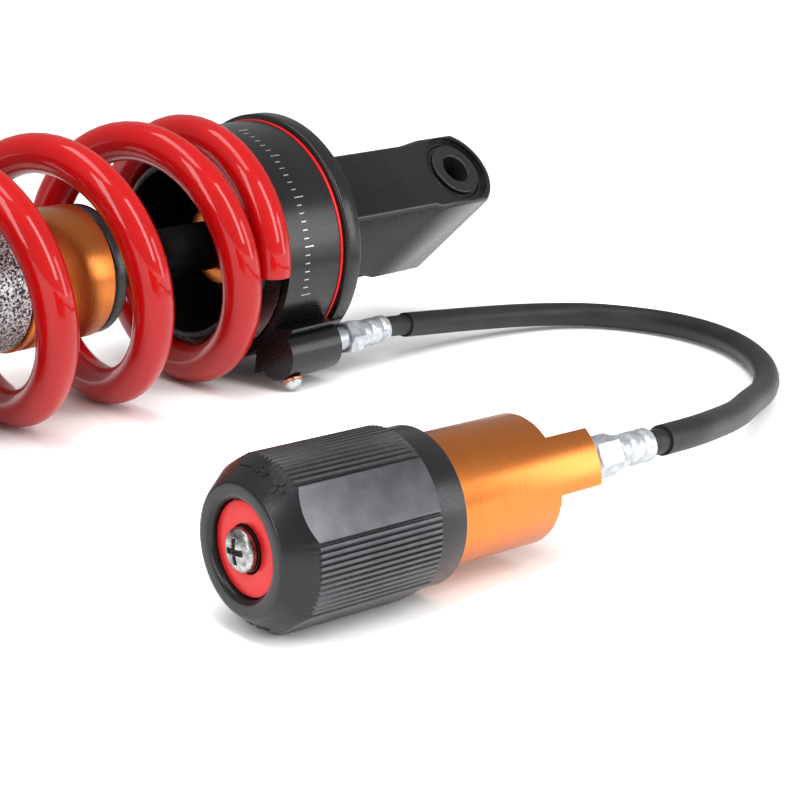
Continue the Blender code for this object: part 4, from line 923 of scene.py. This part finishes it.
def buildKnobScrew(base):
    d = knobScrew
    tip = base - d["height"]
    rim = d["height"] * d["rim"]
    dome = [(d["head"], base), (d["head"], base - rim)]
    for step in range(1, 9):
        across, rise = polar(1, 10 * step)
        dome.append((d["head"] * across, base - rim - (d["height"] - rim) * rise))
    end = base + d["length"]
    profile = [(0, end), (d["shank"], end), (d["shank"], base), *dome, (0, tip)]
    piece = turnPiece("knobScrew", profile, steps=72)
    for turn in (20, 110):
        shape(piece, brick("slotTool", d["slot"], along(z=tip, turn=turn)))
    softEdges(piece, 0.00018, segments=2, angle=40)
    settle(piece, pumpFrame)
    place(piece, "knob", "zinc", "knob_screw", finish="dull_zinc")
    piece.data.materials.append(finishes["painted_shade_black"])
    toPump = pumpFrame.inverted()
    for face in piece.data.polygons:  # the bottom of the cross gets deep black, a painted shade in the recess
        spot = toPump @ face.center
        isDeep = tip + d["crossTop"] < spot.z < base + d["crossFloor"]
        if isDeep and math.hypot(spot.x, spot.y) < d["cross"]:
            face.material_index = 1


pump = {"radius": 0.0145, "inKnob": 0.0280, "length": 0.0294, "end": 0.0413, "half": 0.0064,
        "barrel": 0.0105, "barrelEnd": 0.0262, "seat": 0.0125, "seatDepth": 0.0080, "edge": 0.0007,
        "overlap": 0.0020, "way": 0.0013, "wayLength": 0.0200, "waySink": 0.0074, "key": 0.0012,
        "keyLength": 0.0120, "keyHeight": 0.0050}
pumpBleed = {"height": 0.0354, "head": 0.0037, "thick": 0.0015, "washerThick": 0.0006, "washerHole": 0.0018,
             "gap": 0.0001, "socket": 0.0019, "socketDepth": 0.0022}


def buildPumpBody():
    d = pump
    front = -d["inKnob"]
    step = front + d["seatDepth"]
    profile = [(0, d["end"]), (d["radius"], d["end"]), (d["radius"], front), (d["seat"], front),
               (d["seat"], step), (d["barrel"], step), (d["barrel"], d["barrelEnd"]), (0, d["barrelEnd"])]
    piece = turnPiece("pumpBody", profile, steps=144)
    deep = d["radius"] + d["overlap"] - d["half"]
    tall = d["end"] - d["length"] + d["overlap"]
    for side in (-1, 1):
        spot = along(y=side * (d["half"] + deep / 2), z=d["length"] + tall / 2)
        shape(piece, brick("sideTool", (throughLength, deep, tall), spot))
    softEdges(piece, d["edge"], segments=4, angle=40)
    shape(piece, rod("wayTool", d["way"], d["wayLength"], along(z=d["end"] - d["waySink"]), sides=24))
    shape(piece, rod("portTool", port["radius"], port["length"], along(z=d["end"] - port["sink"]), sides=48))
    keyway = along(x=-d["radius"], z=d["keyHeight"]) @ acrossShock
    shape(piece, rod("keyTool", d["key"], d["keyLength"], keyway, sides=24))
    settle(piece, pumpFrame)
    place(piece, rootBody, "orange_anodised", "pump_body", finish="pump_orange")


def buildPumpBleed():
    d = pumpBleed
    side = pumpFrame @ along(z=d["height"], turn=-90, axis="X")
    low = pump["half"] + fit
    washer = ringProfile(d["head"] + fit, d["washerHole"], low + d["washerThick"], low)
    piece = turnPiece("pumpBleedWasher", washer, side, steps=48, edge=0.00015)
    place(piece, rootBody, "copper", "pump_bleed_washer")
    base = low + d["washerThick"] + d["gap"]
    top = base + d["thick"]
    head = [(0, top), (d["head"], top), (d["head"], base), (0, base)]
    piece = turnPiece("pumpBleedScrew", head, steps=64)
    softEdges(piece, 0.00035, segments=3, angle=40)
    shape(piece, rod("socketTool", d["socket"], d["socketDepth"], along(z=top), sides=6))
    settle(piece, side)
    place(piece, rootBody, "zinc", "pump_bleed_screw")


fitting = {"bore": 0.0013, "neck": 0.0034, "nipple": 0.0022, "nippleDepth": 0.0064, "hex": 0.0050,
           "hexSlope": (0.0008, 0.0006), "ferrule": 0.0040, "ferruleLength": 0.0110, "crimp": 0.00035,
           "crimpHalf": 0.0012, "crimps": (0.72, 0.30), "gap": 0.0001}


def buildFitting(name, spot, seatAt, neck, hexagon):
    d = fitting
    low = seatAt + fit
    mid = low + neck
    end = mid + hexagon
    tip = low - d["nippleDepth"]
    profile = [(hose["radius"], end), (hose["radius"], mid), (d["neck"], mid), (d["neck"], low),
               (d["nipple"], low), (d["nipple"], tip), (d["bore"], tip), (d["bore"], end)]
    piece = turnPiece(f"{name}Fitting", profile, steps=64)
    inset, slope = d["hexSlope"]
    face = d["hex"] - inset
    blank = [(0, end - d["gap"]), (face, end - d["gap"]), (d["hex"], end - slope), (d["hex"], mid + slope),
             (face, mid + d["gap"]), (0, mid + d["gap"])]
    nut = turnPiece("nutTool", blank, steps=96)
    shape(nut, rod("hexTool", d["hex"], hexagon * 2, along(z=(mid + end) / 2), sides=6), "INTERSECT")
    shape(piece, nut, "UNION")
    shape(piece, rod("boreTool", d["bore"] + d["gap"], throughLength, along(z=mid), sides=24))
    softEdges(piece, 0.00012, segments=2, angle=35)
    settle(piece, spot)
    place(piece, rootBody, "zinc", f"{name}_fitting")
    buildFerrule(name, spot, end + fit)


def buildFerrule(name, spot, first):
    d = fitting
    last = first + d["ferruleLength"]
    inner = hose["radius"] + fit
    ring = [(d["ferrule"], last)]
    for share in d["crimps"]:
        middle = first + d["ferruleLength"] * share
        for step in range(-4, 5):
            dip = d["crimp"] * (1 + math.cos(math.pi * step / 4)) / 2
            ring.append((d["ferrule"] - dip, middle - d["crimpHalf"] * step / 4))
    ring += [(d["ferrule"], first), (inner, first), (inner, last)]
    piece = turnPiece(f"{name}Ferrule", ring, steps=72)
    softEdges(piece, 0.0003, segments=3, angle=50)
    settle(piece, spot, smoothAngle=45)
    place(piece, rootBody, "zinc", f"{name}_ferrule")


buildKnob()
buildKnobMarks()
buildKnobCentre()
buildPumpBody()
buildPumpBleed()
collarPort = shockFrame @ along(portAcross, portUp)
buildFitting("collar", collarPort, collar["rear"], neck=0.0073, hexagon=0.0060)
buildFitting("pump", pumpFrame, pump["end"], neck=0.0097, hexagon=0.0075)
print("pump and fittings done")


# floor and studio lights
studio = {"floor": 8.0, "floorDrop": 0.0002, "sky": 0.42, "sun": 2.0, "sunSpread": 70,
          "sunTilt": (12, -14, 0), "aim": (0.02, -0.02, 0.03)}
lamps = {"key": {"power": 5.0, "place": (-0.15, 0.05, 1.10), "size": (0.9, 0.30)},
         "fill": {"power": 5.0, "place": (-0.95, -0.15, 0.55), "size": (0.25, 0.9)},
         "strip": {"power": 13.0, "place": (0.20, -1.10, 0.75), "size": (0.35, 1.2)},
         "band": {"power": 2.6, "place": (0.76, -0.78, 0.24), "size": (0.3, 0.5)}}


def buildFloor():
    selectOnly()
    bpy.ops.mesh.primitive_plane_add(size=studio["floor"], location=(0, 0, -studio["floorDrop"]))
    floor = keepAs("floor")
    paper = bpy.data.materials.new("whitePaper")
    paper.use_nodes = True
    sheet = paper.node_tree.nodes["Principled BSDF"]
    sheet.inputs["Base Color"].default_value = (0.97, 0.97, 0.97, 1)
    sheet.inputs["Roughness"].default_value = 0.9
    sheet.inputs["Specular IOR Level"].default_value = 0.1
    floor.data.materials.append(paper)


def hangLight(name, kind, power):
    light = bpy.data.lights.new(name, kind)
    light.energy = power
    holder = bpy.data.objects.new(name, light)
    bpy.context.scene.collection.objects.link(holder)
    return light, holder


def buildLights():
    bpy.context.scene.view_settings.view_transform = "Standard"
    sky = bpy.data.worlds.new("studio")
    bpy.context.scene.world = sky
    sky.use_nodes = True
    background = sky.node_tree.nodes["Background"]
    background.inputs["Color"].default_value = (1, 1, 1, 1)
    background.inputs["Strength"].default_value = studio["sky"]
    sun, daylight = hangLight("sun", "SUN", studio["sun"])
    sun.angle = math.radians(studio["sunSpread"])
    daylight.rotation_euler = [math.radians(degrees) for degrees in studio["sunTilt"]]
    daylight.visible_glossy = False
    for name, values in lamps.items():
        lamp, holder = hangLight(name, "AREA", values["power"])
        lamp.shape = "RECTANGLE"
        lamp.size, lamp.size_y = values["size"]
        aim = Vector(studio["aim"]) - Vector(values["place"])
        facing = aim.to_track_quat("-Z", "Y").to_matrix().to_4x4()
        holder.matrix_world = Matrix.Translation(values["place"]) @ facing


buildFloor()
buildLights()
print("studio set")
